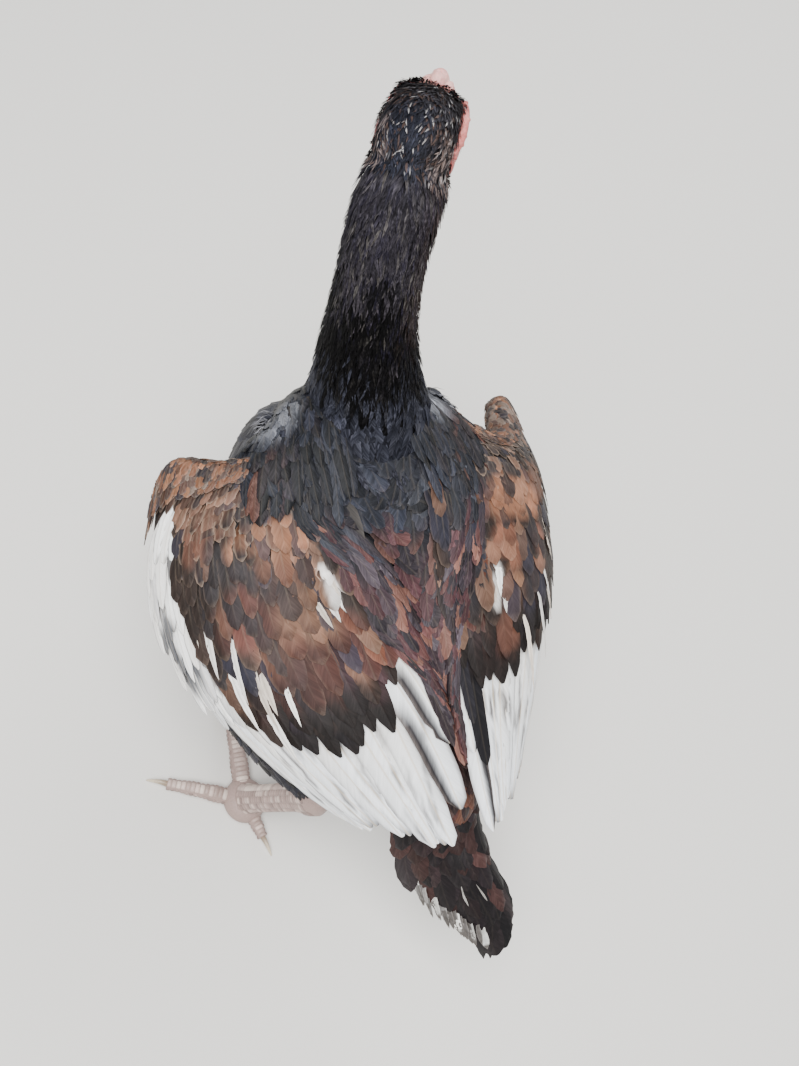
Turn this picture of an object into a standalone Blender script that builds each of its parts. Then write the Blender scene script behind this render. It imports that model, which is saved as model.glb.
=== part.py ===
"""Aseel chicken, a life-size still model standing in a short stride with its wings held off its sides.

Metres, +Z up. The bird faces -Y and its own left is +X. The floor is z = 0, and the origin is on the
floor below the middle of the whole bird.
"""

import math

import bmesh
import bpy
import numpy as np
from mathutils import Matrix, Vector

# Driving dimensions
GAP = 0.0003
FLOOR = 0.0
PATH_STEP = 0.01
SHARP_ANGLE = math.radians(35.0)

# Vanes: thickness at the edge and at the shaft, the height between neighbours, and the outline as
# shares of length and of half width
VANE_EDGE = 0.0005
VANE_RIB = 0.0009
VANE_STEP = 0.0012
VANE_OUTLINE = ((0.0, 0.40), (0.22, 0.86), (0.55, 1.0), (0.84, 0.86), (1.0, 0.34))
VANE_KNEE = 0.4
OVERRUN = 0.9

# Torso sections from the breast to the rump: back y and z, belly y and z, half width
TORSO_SIDES = 20
TORSO_RINGS = 15
TORSO_POWER = 2.15
TORSO_SECTIONS = (
    (-0.1250, 0.2070, -0.1400, 0.1850, 0.0120),
    (-0.1170, 0.2200, -0.1440, 0.1670, 0.0310),
    (-0.1020, 0.2290, -0.1400, 0.1420, 0.0460),
    (-0.0830, 0.2290, -0.1280, 0.1200, 0.0550),
    (-0.0620, 0.2190, -0.1100, 0.1030, 0.0600),
    (-0.0360, 0.2030, -0.0860, 0.0920, 0.0610),
    (-0.0120, 0.1880, -0.0560, 0.0860, 0.0590),
    (0.0120, 0.1770, -0.0240, 0.0860, 0.0540),
    (0.0360, 0.1700, 0.0080, 0.0910, 0.0470),
    (0.0580, 0.1640, 0.0380, 0.1010, 0.0380),
    (0.0760, 0.1560, 0.0640, 0.1120, 0.0270),
    (0.0880, 0.1470, 0.0820, 0.1220, 0.0160),
    (0.0930, 0.1410, 0.0910, 0.1290, 0.0070),
)

# Rounded shoulders over the wing joints: centre and half sizes
SHOULDERS = (
    ((0.0345, -0.0990, 0.2110), (0.0150, 0.0200, 0.0135)),
    ((-0.0430, -0.0960, 0.2120), (0.0155, 0.0200, 0.0135)),
)

# Neck sections from inside the torso to inside the head: centre, half width, half depth
NECK_SIDES = 18
NECK_RINGS = 12
NECK_SECTIONS = (
    (-0.0070, -0.1000, 0.2020, 0.0330, 0.0280),
    (-0.0065, -0.1015, 0.2230, 0.0315, 0.0300),
    (-0.0035, -0.1045, 0.2440, 0.0268, 0.0275),
    (-0.0003, -0.1085, 0.2650, 0.0228, 0.0240),
    (0.0025, -0.1120, 0.2900, 0.0193, 0.0205),
    (0.0048, -0.1145, 0.3150, 0.0175, 0.0186),
    (0.0046, -0.1190, 0.3390, 0.0174, 0.0184),
    (0.0004, -0.1255, 0.3570, 0.0166, 0.0176),
    (-0.0040, -0.1310, 0.3680, 0.0115, 0.0120),
)

# Head: its place, its turn, and sections along its length (forward, top, bottom, half width)
HEAD_CENTRE = (-0.0125, -0.1440, 0.3665)
HEAD_TURN = math.radians(41.0)
HEAD_DIP = math.radians(17.0)
HEAD_TILT = math.radians(-6.0)
HEAD_SIDES = 18
HEAD_RINGS = 12
HEAD_POWER = 2.2
HEAD_SECTIONS = (
    (-0.0318, 0.0022, -0.0108, 0.0054),
    (-0.0278, 0.0081, -0.0178, 0.0119),
    (-0.0201, 0.0130, -0.0221, 0.0154),
    (-0.0117, 0.0151, -0.0221, 0.0166),
    (-0.0032, 0.0152, -0.0203, 0.0161),
    (0.0045, 0.0133, -0.0175, 0.0144),
    (0.0110, 0.0096, -0.0142, 0.0112),
    (0.0160, 0.0062, -0.0112, 0.0080),
    (0.0182, 0.0030, -0.0080, 0.0045),
)
EYE_PLACE = (0.0022, 0.0098, 0.0012)
EYE_RADIUS = 0.0054
EYE_RINGS = 8
EYE_SIDES = 12
LID_RADIUS = 0.0010
LID_SIDES = 5
LID_RINGS = 7
LID_REACH = 0.86
LID_OUT = 0.52
LID_WRAP = 0.0006
LID_TALL = {True: 0.92, False: 0.98}
BROW = ((-0.0080, 0.0118, 0.0072), (0.0015, 0.0124, 0.0085), (0.0105, 0.0088, 0.0066))
BROW_RADIUS = 0.0028
BROW_TAPER = 0.6
BROW_SIDES = 7
BROW_RINGS = 6
EAR_PLACE = (-0.0125, 0.0150, -0.0035)
EAR_SIZE = (0.0024, 0.0029, 0.0019)
EARLOBE = ((-0.0115, 0.0142, -0.0095), (0.0036, 0.0056, 0.0026))
WATTLE = ((0.0095, 0.0045, -0.0150), (0.0052, 0.0058, 0.0017))
LOBE_RINGS = 7
LOBE_SIDES = 10

# Beak sections: forward, top, bottom, half width; the mouth's line is the gap between the two
BEAK_SIDES = 10
BEAK_RINGS = {"upper": 8, "lower": 6}
UPPER_BEAK = (
    (0.0125, 0.0060, -0.0045, 0.0064),
    (0.0180, 0.0062, -0.0047, 0.0068),
    (0.0235, 0.0046, -0.0053, 0.0055),
    (0.0290, 0.0012, -0.0066, 0.0038),
    (0.0335, -0.0035, -0.0086, 0.0022),
    (0.0358, -0.0085, -0.0108, 0.0009),
)
LOWER_BEAK = (
    (0.0125, -0.0049, -0.0108, 0.0058),
    (0.0180, -0.0051, -0.0110, 0.0058),
    (0.0235, -0.0057, -0.0108, 0.0044),
    (0.0285, -0.0069, -0.0104, 0.0025),
    (0.0312, -0.0080, -0.0098, 0.0010),
)
NOSTRIL_PLACE = (0.0205, 0.0056, 0.0016)
NOSTRIL_SIZE = (0.0019, 0.0009, 0.0012)
PIT_RINGS = 6
PIT_SIDES = 8
GAPE_BACK = 0.0085
GAPE_FRONT = 0.0240
GAPE_WIDTH = 0.0300
GAPE_THICK = (0.0005, 0.0010)
MOUTH_LEVEL = -0.0047

# Pea comb: a middle row of lobes and a lower row on each side
COMB_SIDES = 7
COMB_LOBES = 5
COMB_ROWS = ((-0.0006, 0.0146, 0.0046), (0.0036, 0.0122, 0.0032), (-0.0048, 0.0122, 0.0032))
COMB_SPAN = (0.0000, 0.0212)
COMB_FALL = 0.0100
COMB_DIP = 0.72
COMB_ENDS = (0.45, 0.55)
COMB_STRETCH = (0.85, 1.25)

# Wing surface of the left wing, from its leading edge to its tips and from the back to its lower edge
WING_ROWS = (
    ((0.0300, -0.0900, 0.2310), (0.0520, -0.0860, 0.2260), (0.0720, -0.0920, 0.2180),
     (0.0890, -0.1010, 0.2050), (0.0980, -0.0940, 0.1890)),
    ((0.0350, -0.0560, 0.2200), (0.0610, -0.0600, 0.2150), (0.0850, -0.0640, 0.2020),
     (0.1020, -0.0620, 0.1820), (0.1080, -0.0560, 0.1580)),
    ((0.0310, -0.0120, 0.1990), (0.0590, -0.0140, 0.1950), (0.0830, -0.0140, 0.1830),
     (0.0990, -0.0120, 0.1660), (0.1030, -0.0080, 0.1480)),
    ((0.0220, 0.0400, 0.1810), (0.0450, 0.0380, 0.1770), (0.0650, 0.0360, 0.1680),
     (0.0790, 0.0340, 0.1560), (0.0850, 0.0320, 0.1420)),
    ((0.0125, 0.1000, 0.1530), (0.0240, 0.0960, 0.1500), (0.0350, 0.0910, 0.1440),
     (0.0440, 0.0860, 0.1370), (0.0500, 0.0800, 0.1290)),
)
REAR_SWING = -0.0055
WING_TUCK = {1: 0.0, -1: 0.016}
TUCK_RUN = 0.6
WRIST_REACH = {1: 0.0, -1: 0.0035}
LEAD_NOTCH = {1: 0.002, -1: 0.019}
NOTCH_PLACE = 0.48
NOTCH_WIDTH = 0.22
NOTCH_FADE = 0.25
WING_CORE_END = 0.50
WING_CORE_RINGS = 9
WING_CORE_ACROSS = 8
WING_CORE_TOP = 0.0030
WING_CORE_UNDER = 0.0085
WING_CORE_SPACING = 1.25
WING_CORE_FRONT = (0.30, 3.2)
WING_CORE_THINNING = (0.72, 1.5)
WING_CORE_RIM = 0.25

# Feather tiers of a wing, on the wing surface, where along runs 0 to 1 from the leading edge to the
# tips and across runs 0 to 1 from the back to the lower edge. Each has: count; along at the root, at
# the tip nearest the back and at the outermost tip; across at the first and last root, and at the
# first and last tip; half width as a share of the pitch; heights over the wing surface at the root,
# halfway and at the tip
WING_TIERS = {
    "primaries": (7, 0.16, 0.99, 0.93, 0.72, 0.93, 0.50, 0.94, 0.85, -0.0050, -0.0080, -0.0066),
    "secondaries": (9, 0.36, 1.00, 0.96, 0.09, 0.83, 0.08, 0.82, 0.85, -0.0010, 0.0000, 0.0000),
    "greater_coverts": (8, 0.27, 0.74, 0.62, 0.07, 0.90, 0.08, 0.88, 0.80, 0.0005, 0.0042, 0.0048),
    "median_coverts": (7, 0.13, 0.46, 0.42, 0.07, 0.93, 0.08, 0.92, 0.80, 0.0005, 0.0066, 0.0080),
}

# Tail surface, from its root to its tip and from its own left edge to its right edge
TAIL_ROWS = (
    ((0.0220, 0.0720, 0.1240), (0.0120, 0.0740, 0.1330), (0.0010, 0.0750, 0.1360),
     (-0.0100, 0.0740, 0.1340), (-0.0200, 0.0720, 0.1270)),
    ((0.0210, 0.0970, 0.0990), (0.0120, 0.1010, 0.1130), (0.0020, 0.1030, 0.1220),
     (-0.0080, 0.1020, 0.1240), (-0.0180, 0.1000, 0.1190)),
    ((0.0100, 0.1290, 0.0820), (0.0030, 0.1330, 0.0940), (-0.0070, 0.1360, 0.1040),
     (-0.0180, 0.1350, 0.1070), (-0.0280, 0.1320, 0.1020)),
    ((-0.0060, 0.1500, 0.0780), (-0.0090, 0.1560, 0.0850), (-0.0150, 0.1590, 0.0920),
     (-0.0220, 0.1570, 0.0940), (-0.0290, 0.1510, 0.0920)),
)
TAIL_PAIRS = 4
TAIL_OVERLAP = 1.10
TAIL_MIDDLE_HALF = 0.0095
TAIL_SPREAD = 0.44
TAIL_GATHER = 0.85
TAIL_ROOT = 0.12
TAIL_TIP = 0.86
TAIL_TIP_STEP = 0.036
# The middle feather and the covert over it: root, tip, height over the tail surface, share of width
TAIL_MIDDLE = ((0.08, 0.97, 0.0026, 1.0), (0.08, 0.48, 0.0046, 1.25))
TAIL_CORE_RINGS = 7
TAIL_CORE_SIDES = 12
TAIL_CORE = (
    (0.0005, 0.0640, 0.1350, 0.0190, 0.0150),
    (0.0010, 0.0780, 0.1275, 0.0200, 0.0120),
    (0.0012, 0.0900, 0.1200, 0.0170, 0.0075),
    (0.0010, 0.0990, 0.1150, 0.0110, 0.0040),
)

# Legs: the sole's middle, the hock, each toe's turn from straight ahead towards the outer side in
# degrees, in the order of TOES, and sections of the feathered thigh
LEGS = {
    1: {
        "sole": (0.0665, 0.0230),
        "hock": (0.0500, 0.0480, 0.0930),
        "turns": (-10.0, 58.0, -98.0, 188.0),
        "thigh": (
            (0.0497, 0.0485, 0.0925, 0.0078),
            (0.0512, 0.0380, 0.0985, 0.0125),
            (0.0555, 0.0180, 0.1070, 0.0215),
            (0.0590, -0.0080, 0.1170, 0.0280),
            (0.0550, -0.0350, 0.1290, 0.0310),
            (0.0450, -0.0600, 0.1420, 0.0270),
            (0.0380, -0.0720, 0.1480, 0.0150),
        ),
    },
    -1: {
        "sole": (-0.0560, -0.0470),
        "hock": (-0.0500, -0.0170, 0.0940),
        "turns": (4.0, 59.0, -44.0, 180.0),
        "thigh": (
            (-0.0498, -0.0165, 0.0935, 0.0078),
            (-0.0515, -0.0255, 0.1010, 0.0125),
            (-0.0560, -0.0400, 0.1130, 0.0215),
            (-0.0580, -0.0560, 0.1260, 0.0270),
            (-0.0540, -0.0720, 0.1390, 0.0300),
            (-0.0440, -0.0860, 0.1520, 0.0270),
            (-0.0370, -0.0930, 0.1590, 0.0150),
        ),
    },
}
THIGH_SIDES = 14
THIGH_RINGS = 9
SHANK_SIDES = 10
SHANK_RADIUS = 0.0062
SHANK_DEPTH = 0.0076
HOCK_RADIUS = 0.0088
SHANK_OVERRUN = 0.012
HOCK_PLACE = 0.011
HOCK_LENGTH = 0.012
ANKLE_SWELL = 0.0015
ANKLE_LENGTH = 0.010
SHANK_CAP = ((0.0, 0.45), (0.035, 0.8))
SHANK_SCUTES = 11
SCUTE_SPAN = (0.09, 0.97)
SCUTE_SHARE = 0.86
SCUTE_RISE = 0.0006
SCUTE_WRAP = 0.35
PAD_RADIUS = (0.0125, 0.0135, 0.0085)
PAD_LEVEL = 0.62
PAD_RINGS = 8
PAD_SIDES = 14
ANKLE_HEIGHT = 0.0075

# Toes: name, length, radius at the root, scutes
TOES = (
    ("middle", 0.0560, 0.0056, 7),
    ("outer", 0.0470, 0.0050, 6),
    ("inner", 0.0430, 0.0050, 5),
    ("hind", 0.0240, 0.0044, 3),
)
TOE_SIDES = 8
TOE_START = 0.0050
TOE_END_SHARE = 0.60
TOE_LEVEL = (0.80, 0.12)
TOE_ARCH = 0.0022
TOE_FULL_LENGTH = 0.05
TOE_KNUCKLE = 0.05
TOE_KNUCKLES = 3
TOE_BROAD = 1.05
TOE_SCUTE_EDGE = 0.05
CLAW_LENGTH = 0.0125
CLAW_SIDES = 7
CLAW_RINGS = 6
CLAW_THICK = 0.72
CLAW_BROAD = 0.85
CLAW_TAPER = 0.75
CLAW_TIP = 0.00035
CLAW_ARCH = 0.0016
CLAW_FALL = 1.6
CLAW_SHARE = (0.7, 60.0)
CLAW_CLEARANCE = 0.0006

# Where the plumage form is parted: the neck from the torso, and the head from the neck in the head's
# own directions, with the way each cut faces
NECK_BASE = (0.0, -0.0900, 0.2350)
NECK_BASE_TILT = (0.0, -0.35, 0.94)
NAPE = (-0.0165, 0.0, -0.0165)
NAPE_TILT = (0.62, 0.78)

# Colours: name, red, green, blue, roughness
FINISHES = {
    "black_feather": (0.020, 0.020, 0.026, 0.60),
    "brown_feather": (0.130, 0.048, 0.022, 0.70),
    "tail_feather": (0.035, 0.022, 0.020, 0.60),
    "head_feather": (0.045, 0.045, 0.052, 0.75),
    "bare_skin": (0.560, 0.180, 0.180, 0.55),
    "comb_skin": (0.720, 0.400, 0.420, 0.60),
    "beak_horn": (0.480, 0.400, 0.260, 0.35),
    "leg_scale": (0.420, 0.300, 0.260, 0.55),
    "claw_horn": (0.560, 0.480, 0.380, 0.40),
    "eye": (0.300, 0.200, 0.080, 0.08),
}


def clear_scene():
    for obj in list(bpy.data.objects):
        bpy.data.objects.remove(obj, do_unlink=True)


def finish_material(name):
    material = bpy.data.materials.get(name)
    if material is None:
        red, green, blue, roughness = FINISHES[name]
        material = bpy.data.materials.new(name)
        material.use_nodes = True
        shader = material.node_tree.nodes["Principled BSDF"]
        shader.inputs["Base Color"].default_value = (red, green, blue, 1.0)
        shader.inputs["Roughness"].default_value = roughness
        shader.inputs["Metallic"].default_value = 0.0
    return material


def smooth_at(points, t):
    """The point at t, from 0 to 1, of the smooth curve through rows of numbers."""
    rows = np.asarray(points, float)
    last = len(rows) - 1
    place = min(max(t, 0.0), 1.0) * last
    index = min(int(place), last - 1)
    s = place - index
    before = rows[index - 1] if index > 0 else 2 * rows[0] - rows[1]
    after = rows[index + 2] if index + 2 <= last else 2 * rows[last] - rows[last - 1]
    a, b = rows[index], rows[index + 1]
    return 0.5 * (
        2 * a
        + (b - before) * s
        + (2 * before - 5 * a + 4 * b - after) * s * s
        + (3 * a - before - 3 * b + after) * s**3
    )


def unit(vector):
    vector = np.asarray(vector, float)
    return vector / max(np.linalg.norm(vector), 1e-12)


def mesh_object(name, points, faces, material):
    mesh = bpy.data.meshes.new(name)
    mesh.from_pydata([tuple(point) for point in points], [], faces)
    form = bmesh.new()
    form.from_mesh(mesh)
    bmesh.ops.recalc_face_normals(form, faces=form.faces)
    form.to_mesh(mesh)
    form.free()
    mesh.materials.append(finish_material(material))
    obj = bpy.data.objects.new(name, mesh)
    bpy.context.scene.collection.objects.link(obj)
    return obj


def loft(name, rings, material):
    """A closed form through rings of equal count, each end closed by a fan to its middle."""
    sides = len(rings[0])
    points = [point for ring in rings for point in ring]
    faces = []
    for row in range(len(rings) - 1):
        for side in range(sides):
            a = row * sides + side
            b = row * sides + (side + 1) % sides
            faces.append((a, b, b + sides))
            faces.append((a, b + sides, a + sides))
    for row in (0, len(rings) - 1):
        middle = len(points)
        points.append(np.mean(rings[row], axis=0))
        for side in range(sides):
            faces.append((row * sides + side, row * sides + (side + 1) % sides, middle))
    return mesh_object(name, points, faces, material)


def oval(centre, across, up, half_across, half_up, sides, power=2.0):
    """A ring of points on a superellipse, whose power 2 is an ellipse."""
    ring = []
    for step in range(sides):
        angle = 2 * math.pi * step / sides
        c, s = math.cos(angle), math.sin(angle)
        x = math.copysign(abs(c) ** (2 / power), c) * half_across
        y = math.copysign(abs(s) ** (2 / power), s) * half_up
        ring.append(centre + across * x + up * y)
    return ring


def torso_form(name, grow=0.0):
    rings = []
    for step in range(TORSO_RINGS):
        back_y, back_z, belly_y, belly_z, half = smooth_at(TORSO_SECTIONS, step / (TORSO_RINGS - 1))
        back = np.array((0.0, back_y, back_z))
        belly = np.array((0.0, belly_y, belly_z))
        up = unit(back - belly)
        tall = np.linalg.norm(back - belly) / 2
        rings.append(
            oval((back + belly) / 2, np.array((1.0, 0.0, 0.0)), up, half + grow, tall + grow,
                 TORSO_SIDES, TORSO_POWER)
        )
    return loft(name, rings, "black_feather")


def tube_rings(sections, count, sides, grow=0.0, across=(1.0, 0.0, 0.0), power=2.0):
    """Rings square to the path through sections of x, y, z and one or two half sizes."""
    rings = []
    for step in range(count):
        t = step / (count - 1)
        here = smooth_at(sections, t)
        ahead = smooth_at(sections, min(t + PATH_STEP, 1.0)) - smooth_at(sections, max(t - PATH_STEP, 0.0))
        along = unit(ahead[:3])
        side = unit(np.asarray(across, float) - along * np.dot(across, along))
        up = np.cross(along, side)
        half_up = here[4] if len(here) > 4 else here[3]
        rings.append(oval(here[:3], side, up, here[3] + grow, half_up + grow, sides, power))
    return rings


def neck_form(name, grow=0.0):
    return loft(name, tube_rings(NECK_SECTIONS, NECK_RINGS, NECK_SIDES, grow), "black_feather")


def head_axes():
    """The head's forward, left and up directions."""
    forward = np.array((
        -math.sin(HEAD_TURN) * math.cos(HEAD_DIP),
        -math.cos(HEAD_TURN) * math.cos(HEAD_DIP),
        -math.sin(HEAD_DIP),
    ))
    level = np.array((math.cos(HEAD_TURN), -math.sin(HEAD_TURN), 0.0))
    rise = np.cross(forward, level)
    left = level * math.cos(HEAD_TILT) + rise * math.sin(HEAD_TILT)
    up = rise * math.cos(HEAD_TILT) - level * math.sin(HEAD_TILT)
    return forward, left, up


def on_head(forward, left, up):
    """A place given along the head's own directions from the middle between the eyes."""
    axes = head_axes()
    return np.asarray(HEAD_CENTRE) + axes[0] * forward + axes[1] * left + axes[2] * up


def head_rings(sections, count, sides, grow=0.0, power=HEAD_POWER):
    axes = head_axes()
    rings = []
    for step in range(count):
        forward, top, bottom, half = smooth_at(sections, step / (count - 1))
        middle = on_head(forward, 0.0, (top + bottom) / 2)
        rings.append(oval(middle, axes[1], axes[2], half + grow, (top - bottom) / 2 + grow, sides, power))
    return rings


def head_form(name, grow=0.0):
    return loft(name, head_rings(HEAD_SECTIONS, HEAD_RINGS, HEAD_SIDES, grow), "head_feather")


def ball(name, centre, radii, axes, material, rings=8, sides=12):
    """A ball or an egg with its half sizes along three directions."""
    loops = []
    for step in range(1, rings):
        angle = math.pi * step / rings
        middle = np.asarray(centre) + axes[2] * radii[2] * math.cos(angle)
        reach = math.sin(angle)
        loops.append(oval(middle, axes[0], axes[1], radii[0] * reach, radii[1] * reach, sides))
    return loft(name, loops, material)


def bent_tube(name, path, radii, sides, material, count):
    """A tube through a path of points, its radius following the list of radii."""
    sections = [(*point, radius) for point, radius in zip(path, radii)]
    guide = unit(np.cross(np.subtract(path[-1], path[0]), (0.31, 0.17, 0.93)))
    return loft(name, tube_rings(sections, count, sides, 0.0, guide), material)


def remove(obj):
    mesh = obj.data
    bpy.data.objects.remove(obj, do_unlink=True)
    bpy.data.meshes.remove(mesh)


def bake_modifiers(obj):
    graph = bpy.context.evaluated_depsgraph_get()
    mesh = bpy.data.meshes.new_from_object(obj.evaluated_get(graph))
    obj.modifiers.clear()
    old = obj.data
    obj.data = mesh
    bpy.data.meshes.remove(old)


def keep_largest(obj):
    """Leaves only the closed surface that holds the most volume."""
    form = bmesh.new()
    form.from_mesh(obj.data)
    bmesh.ops.remove_doubles(form, verts=form.verts, dist=1e-7)
    bmesh.ops.triangulate(form, faces=form.faces)
    unseen = set(form.faces)
    groups = []
    while unseen:
        first = unseen.pop()
        group = [first]
        waiting = [first]
        while waiting:
            for edge in waiting.pop().edges:
                for face in edge.link_faces:
                    if face in unseen:
                        unseen.discard(face)
                        group.append(face)
                        waiting.append(face)
        volume = 0.0
        for face in group:
            a, b, c = (vert.co for vert in face.verts)
            volume += a.dot(b.cross(c)) / 6
        groups.append((volume, group))
    groups.sort(key=lambda entry: entry[0])
    for _, group in groups[:-1]:
        bmesh.ops.delete(form, geom=group, context="FACES")
    form.to_mesh(obj.data)
    form.free()


def fuse(pieces, solver="EXACT"):
    """Joins the pieces into the first by one Boolean union on a collection."""
    whole = pieces[0]
    if len(pieces) > 1:
        group = bpy.data.collections.new("pieces_of_" + whole.name)
        bpy.context.scene.collection.children.link(group)
        for piece in pieces[1:]:
            bpy.context.scene.collection.objects.unlink(piece)
            group.objects.link(piece)
        union = whole.modifiers.new("union", "BOOLEAN")
        union.operation = "UNION"
        union.operand_type = "COLLECTION"
        union.collection = group
        union.solver = solver
        bake_modifiers(whole)
        for piece in pieces[1:]:
            remove(piece)
        bpy.data.collections.remove(group)
    keep_largest(whole)
    return whole


def cut(obj, cutter, operation="DIFFERENCE", keep_cutter=False):
    cutter.hide_render = True
    cutter.display_type = "WIRE"
    boolean = obj.modifiers.new("cut", "BOOLEAN")
    boolean.operation = operation
    boolean.object = cutter
    boolean.solver = "EXACT"
    bake_modifiers(obj)
    if not keep_cutter:
        remove(cutter)
    keep_largest(obj)
    return obj


def half_space(name, point, normal, size=1.0):
    """A large block whose one face lies at the point, on the side that the normal points to."""
    normal = Vector(normal).normalized()
    form = bmesh.new()
    bmesh.ops.create_cube(form, size=size)
    mesh = bpy.data.meshes.new(name)
    turn = normal.to_track_quat("Z", "Y").to_matrix().to_4x4()
    place = Matrix.Translation(Vector(point) + normal * size / 2)
    bmesh.ops.transform(form, matrix=place @ turn, verts=form.verts)
    form.to_mesh(mesh)
    form.free()
    obj = bpy.data.objects.new(name, mesh)
    bpy.context.scene.collection.objects.link(obj)
    return obj


def copy_of(obj, name):
    twin = bpy.data.objects.new(name, obj.data.copy())
    bpy.context.scene.collection.objects.link(twin)
    return twin


def surface_at(rows, along, across):
    line = [smooth_at(row, across) for row in rows]
    return smooth_at(line, along)


def wing_surface(side, along, across):
    """A wing's upper surface, tucked in along the rear, reaching out at the wrist, notched in front."""
    x, y, z = surface_at(WING_ROWS, along, across)
    run = min(max(along, 0.0), 1.0)
    x -= WING_TUCK[side] * across * math.sin(math.pi * run * TUCK_RUN) ** 2
    x += WRIST_REACH[side] * across * (1.0 - run) ** 4
    notch = math.exp(-(((across - NOTCH_PLACE) / NOTCH_WIDTH) ** 2) - run / NOTCH_FADE)
    y += LEAD_NOTCH[side] * notch
    return np.array((side * x + REAR_SWING * max(along, 0.0) ** 2, y, z))


def tail_surface(side, along, across):
    return surface_at(TAIL_ROWS, along, across)


def lifted(surface, side, along, across, height):
    """The place at a height over a surface, measured along its outward normal."""
    d = PATH_STEP
    run = surface(side, min(along + d, 1.0), across) - surface(side, max(along - d, 0.0), across)
    spread = surface(side, along, min(across + d, 1.0)) - surface(side, along, max(across - d, 0.0))
    normal = unit(np.cross(run, spread))
    if normal[2] < 0:
        normal = -normal
    over_across = across - min(max(across, 0.0), 1.0)
    over_along = along - min(max(along, 0.0), 1.0)
    place = surface(side, along, across)
    place = place + (spread * over_across + run * over_along) * OVERRUN / (2 * d)
    return place + normal * height


def width_at(surface, side, along):
    steps = [surface(side, along, t) for t in np.linspace(0.0, 1.0, 7)]
    return sum(np.linalg.norm(b - a) for a, b in zip(steps, steps[1:]))


def vane(name, stations, material):
    """A feather's vane with a raised shaft: stations of left, middle and right places and normals.

    Both faces are split into triangles alike, so that a curved vane stays as thick as it should.
    """
    points, faces = [], []
    for left, middle, right, normal in stations:
        edge, rib = normal * VANE_EDGE / 2, normal * VANE_RIB / 2
        points += [left + edge, middle + rib, right + edge, right - edge, middle - rib, left - edge]
    for row in range(len(stations) - 1):
        a, b = row * 6, row * 6 + 6
        for top, low in ((0, 5), (1, 4)):
            faces += [(a + top, a + top + 1, b + top + 1), (a + top, b + top + 1, b + top)]
            faces += [(a + low, b + low - 1, a + low - 1), (a + low, b + low, b + low - 1)]
        faces += [(a + 2, a + 3, b + 3), (a + 2, b + 3, b + 2)]
        faces += [(a + 5, a, b), (a + 5, b, b + 5)]
    for base in (0, (len(stations) - 1) * 6):
        faces += [(base, base + 1, base + 5), (base + 1, base + 4, base + 5)]
        faces += [(base + 1, base + 2, base + 4), (base + 2, base + 3, base + 4)]
    return mesh_object(name, points, faces, material)


def tier(name, side, surface, row, material):
    """Overlapping vanes side by side on a surface, each one step higher than its outer neighbour."""
    count, root, tip_first, tip_last, root_a, root_b, tip_a, tip_b, overlap, low, mid, high = row
    vanes = []
    for index in range(count):
        share = index / max(count - 1, 1)
        tip = tip_first + (tip_last - tip_first) * share
        stations = []
        for s, wide in VANE_OUTLINE:
            along = root + (tip - root) * s
            middle = root_a + (root_b - root_a) * share
            middle += (tip_a + (tip_b - tip_a) * share - middle) * s
            pitch = ((root_b - root_a) * (1 - s) + (tip_b - tip_a) * s) / max(count - 1, 1)
            half = overlap * pitch * wide
            base = low + (mid - low) * min(s / VANE_KNEE, 1.0)
            base += (high - mid) * max(s - VANE_KNEE, 0.0) / (1.0 - VANE_KNEE)
            places = []
            for offset in (-half, 0.0, half):
                lean = VANE_STEP * offset / pitch
                places.append(lifted(surface, side, along, middle + offset, base + lean))
            above = lifted(surface, side, along, middle, base + 0.001)
            stations.append((*places, unit(above - places[1])))
        vanes.append(vane(f"{name}_{index}", stations, material))
    return vanes


def wing_core(name, side):
    """The arm with its flesh and small feathers, thick at the leading edge and thin at its end."""
    rings = []
    for step in range(WING_CORE_RINGS):
        t = step / (WING_CORE_RINGS - 1)
        along = WING_CORE_END * t**WING_CORE_SPACING
        body = min(1.0, WING_CORE_FRONT[0] + WING_CORE_FRONT[1] * t)
        body *= 1.0 - WING_CORE_THINNING[0] * t ** WING_CORE_THINNING[1]
        upper, under = [], []
        for place in range(WING_CORE_ACROSS + 1):
            across = place / WING_CORE_ACROSS
            round_off = math.sqrt(max(1.0 - (2 * across - 1) ** 2, 0.0))
            lens = WING_CORE_RIM + (1.0 - WING_CORE_RIM) * round_off
            upper.append(lifted(wing_surface, side, along, across, WING_CORE_TOP * body * lens))
            under.append(lifted(wing_surface, side, along, across, -WING_CORE_UNDER * body * lens))
        rings.append(upper + under[::-1])
    return loft(name, rings, "brown_feather")


def make_wing(side, cutters):
    name = "wing_left" if side > 0 else "wing_right"
    pieces = [wing_core(name, side)]
    for tier_name, row in WING_TIERS.items():
        pieces += tier(f"{name}_{tier_name}", side, wing_surface, row, "brown_feather")
    wing = fuse(pieces, "MANIFOLD")
    for cutter in cutters:
        cut(wing, cutter, keep_cutter=True)
    return wing


def tail_vane(name, stations_of, material="tail_feather"):
    """A tail vane whose three places at each share of its length come from a function."""
    stations = []
    for s, wide in VANE_OUTLINE:
        places, along, middle = stations_of(s, wide)
        top = lifted(tail_surface, 0, along, middle, 0.001)
        stations.append((*places, unit(top - lifted(tail_surface, 0, along, middle, 0.0))))
    return vane(name, stations, material)


def outer_tail_vane(side, index):
    pitch = TAIL_SPREAD / TAIL_PAIRS

    def places_at(s, wide):
        along = TAIL_ROOT + (TAIL_TIP - TAIL_TIP_STEP * index - TAIL_ROOT) * s
        step = pitch * (TAIL_GATHER + (1.0 - TAIL_GATHER) * s)
        middle = 0.5 - side * index * step
        half = TAIL_OVERLAP * step * wide
        places = []
        for offset in (-half, 0.0, half):
            lean = -side * offset * VANE_STEP / step
            places.append(lifted(tail_surface, 0, along, middle + offset, lean))
        return places, along, middle

    return tail_vane(f"tail_{side}_{index}", places_at)


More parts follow.
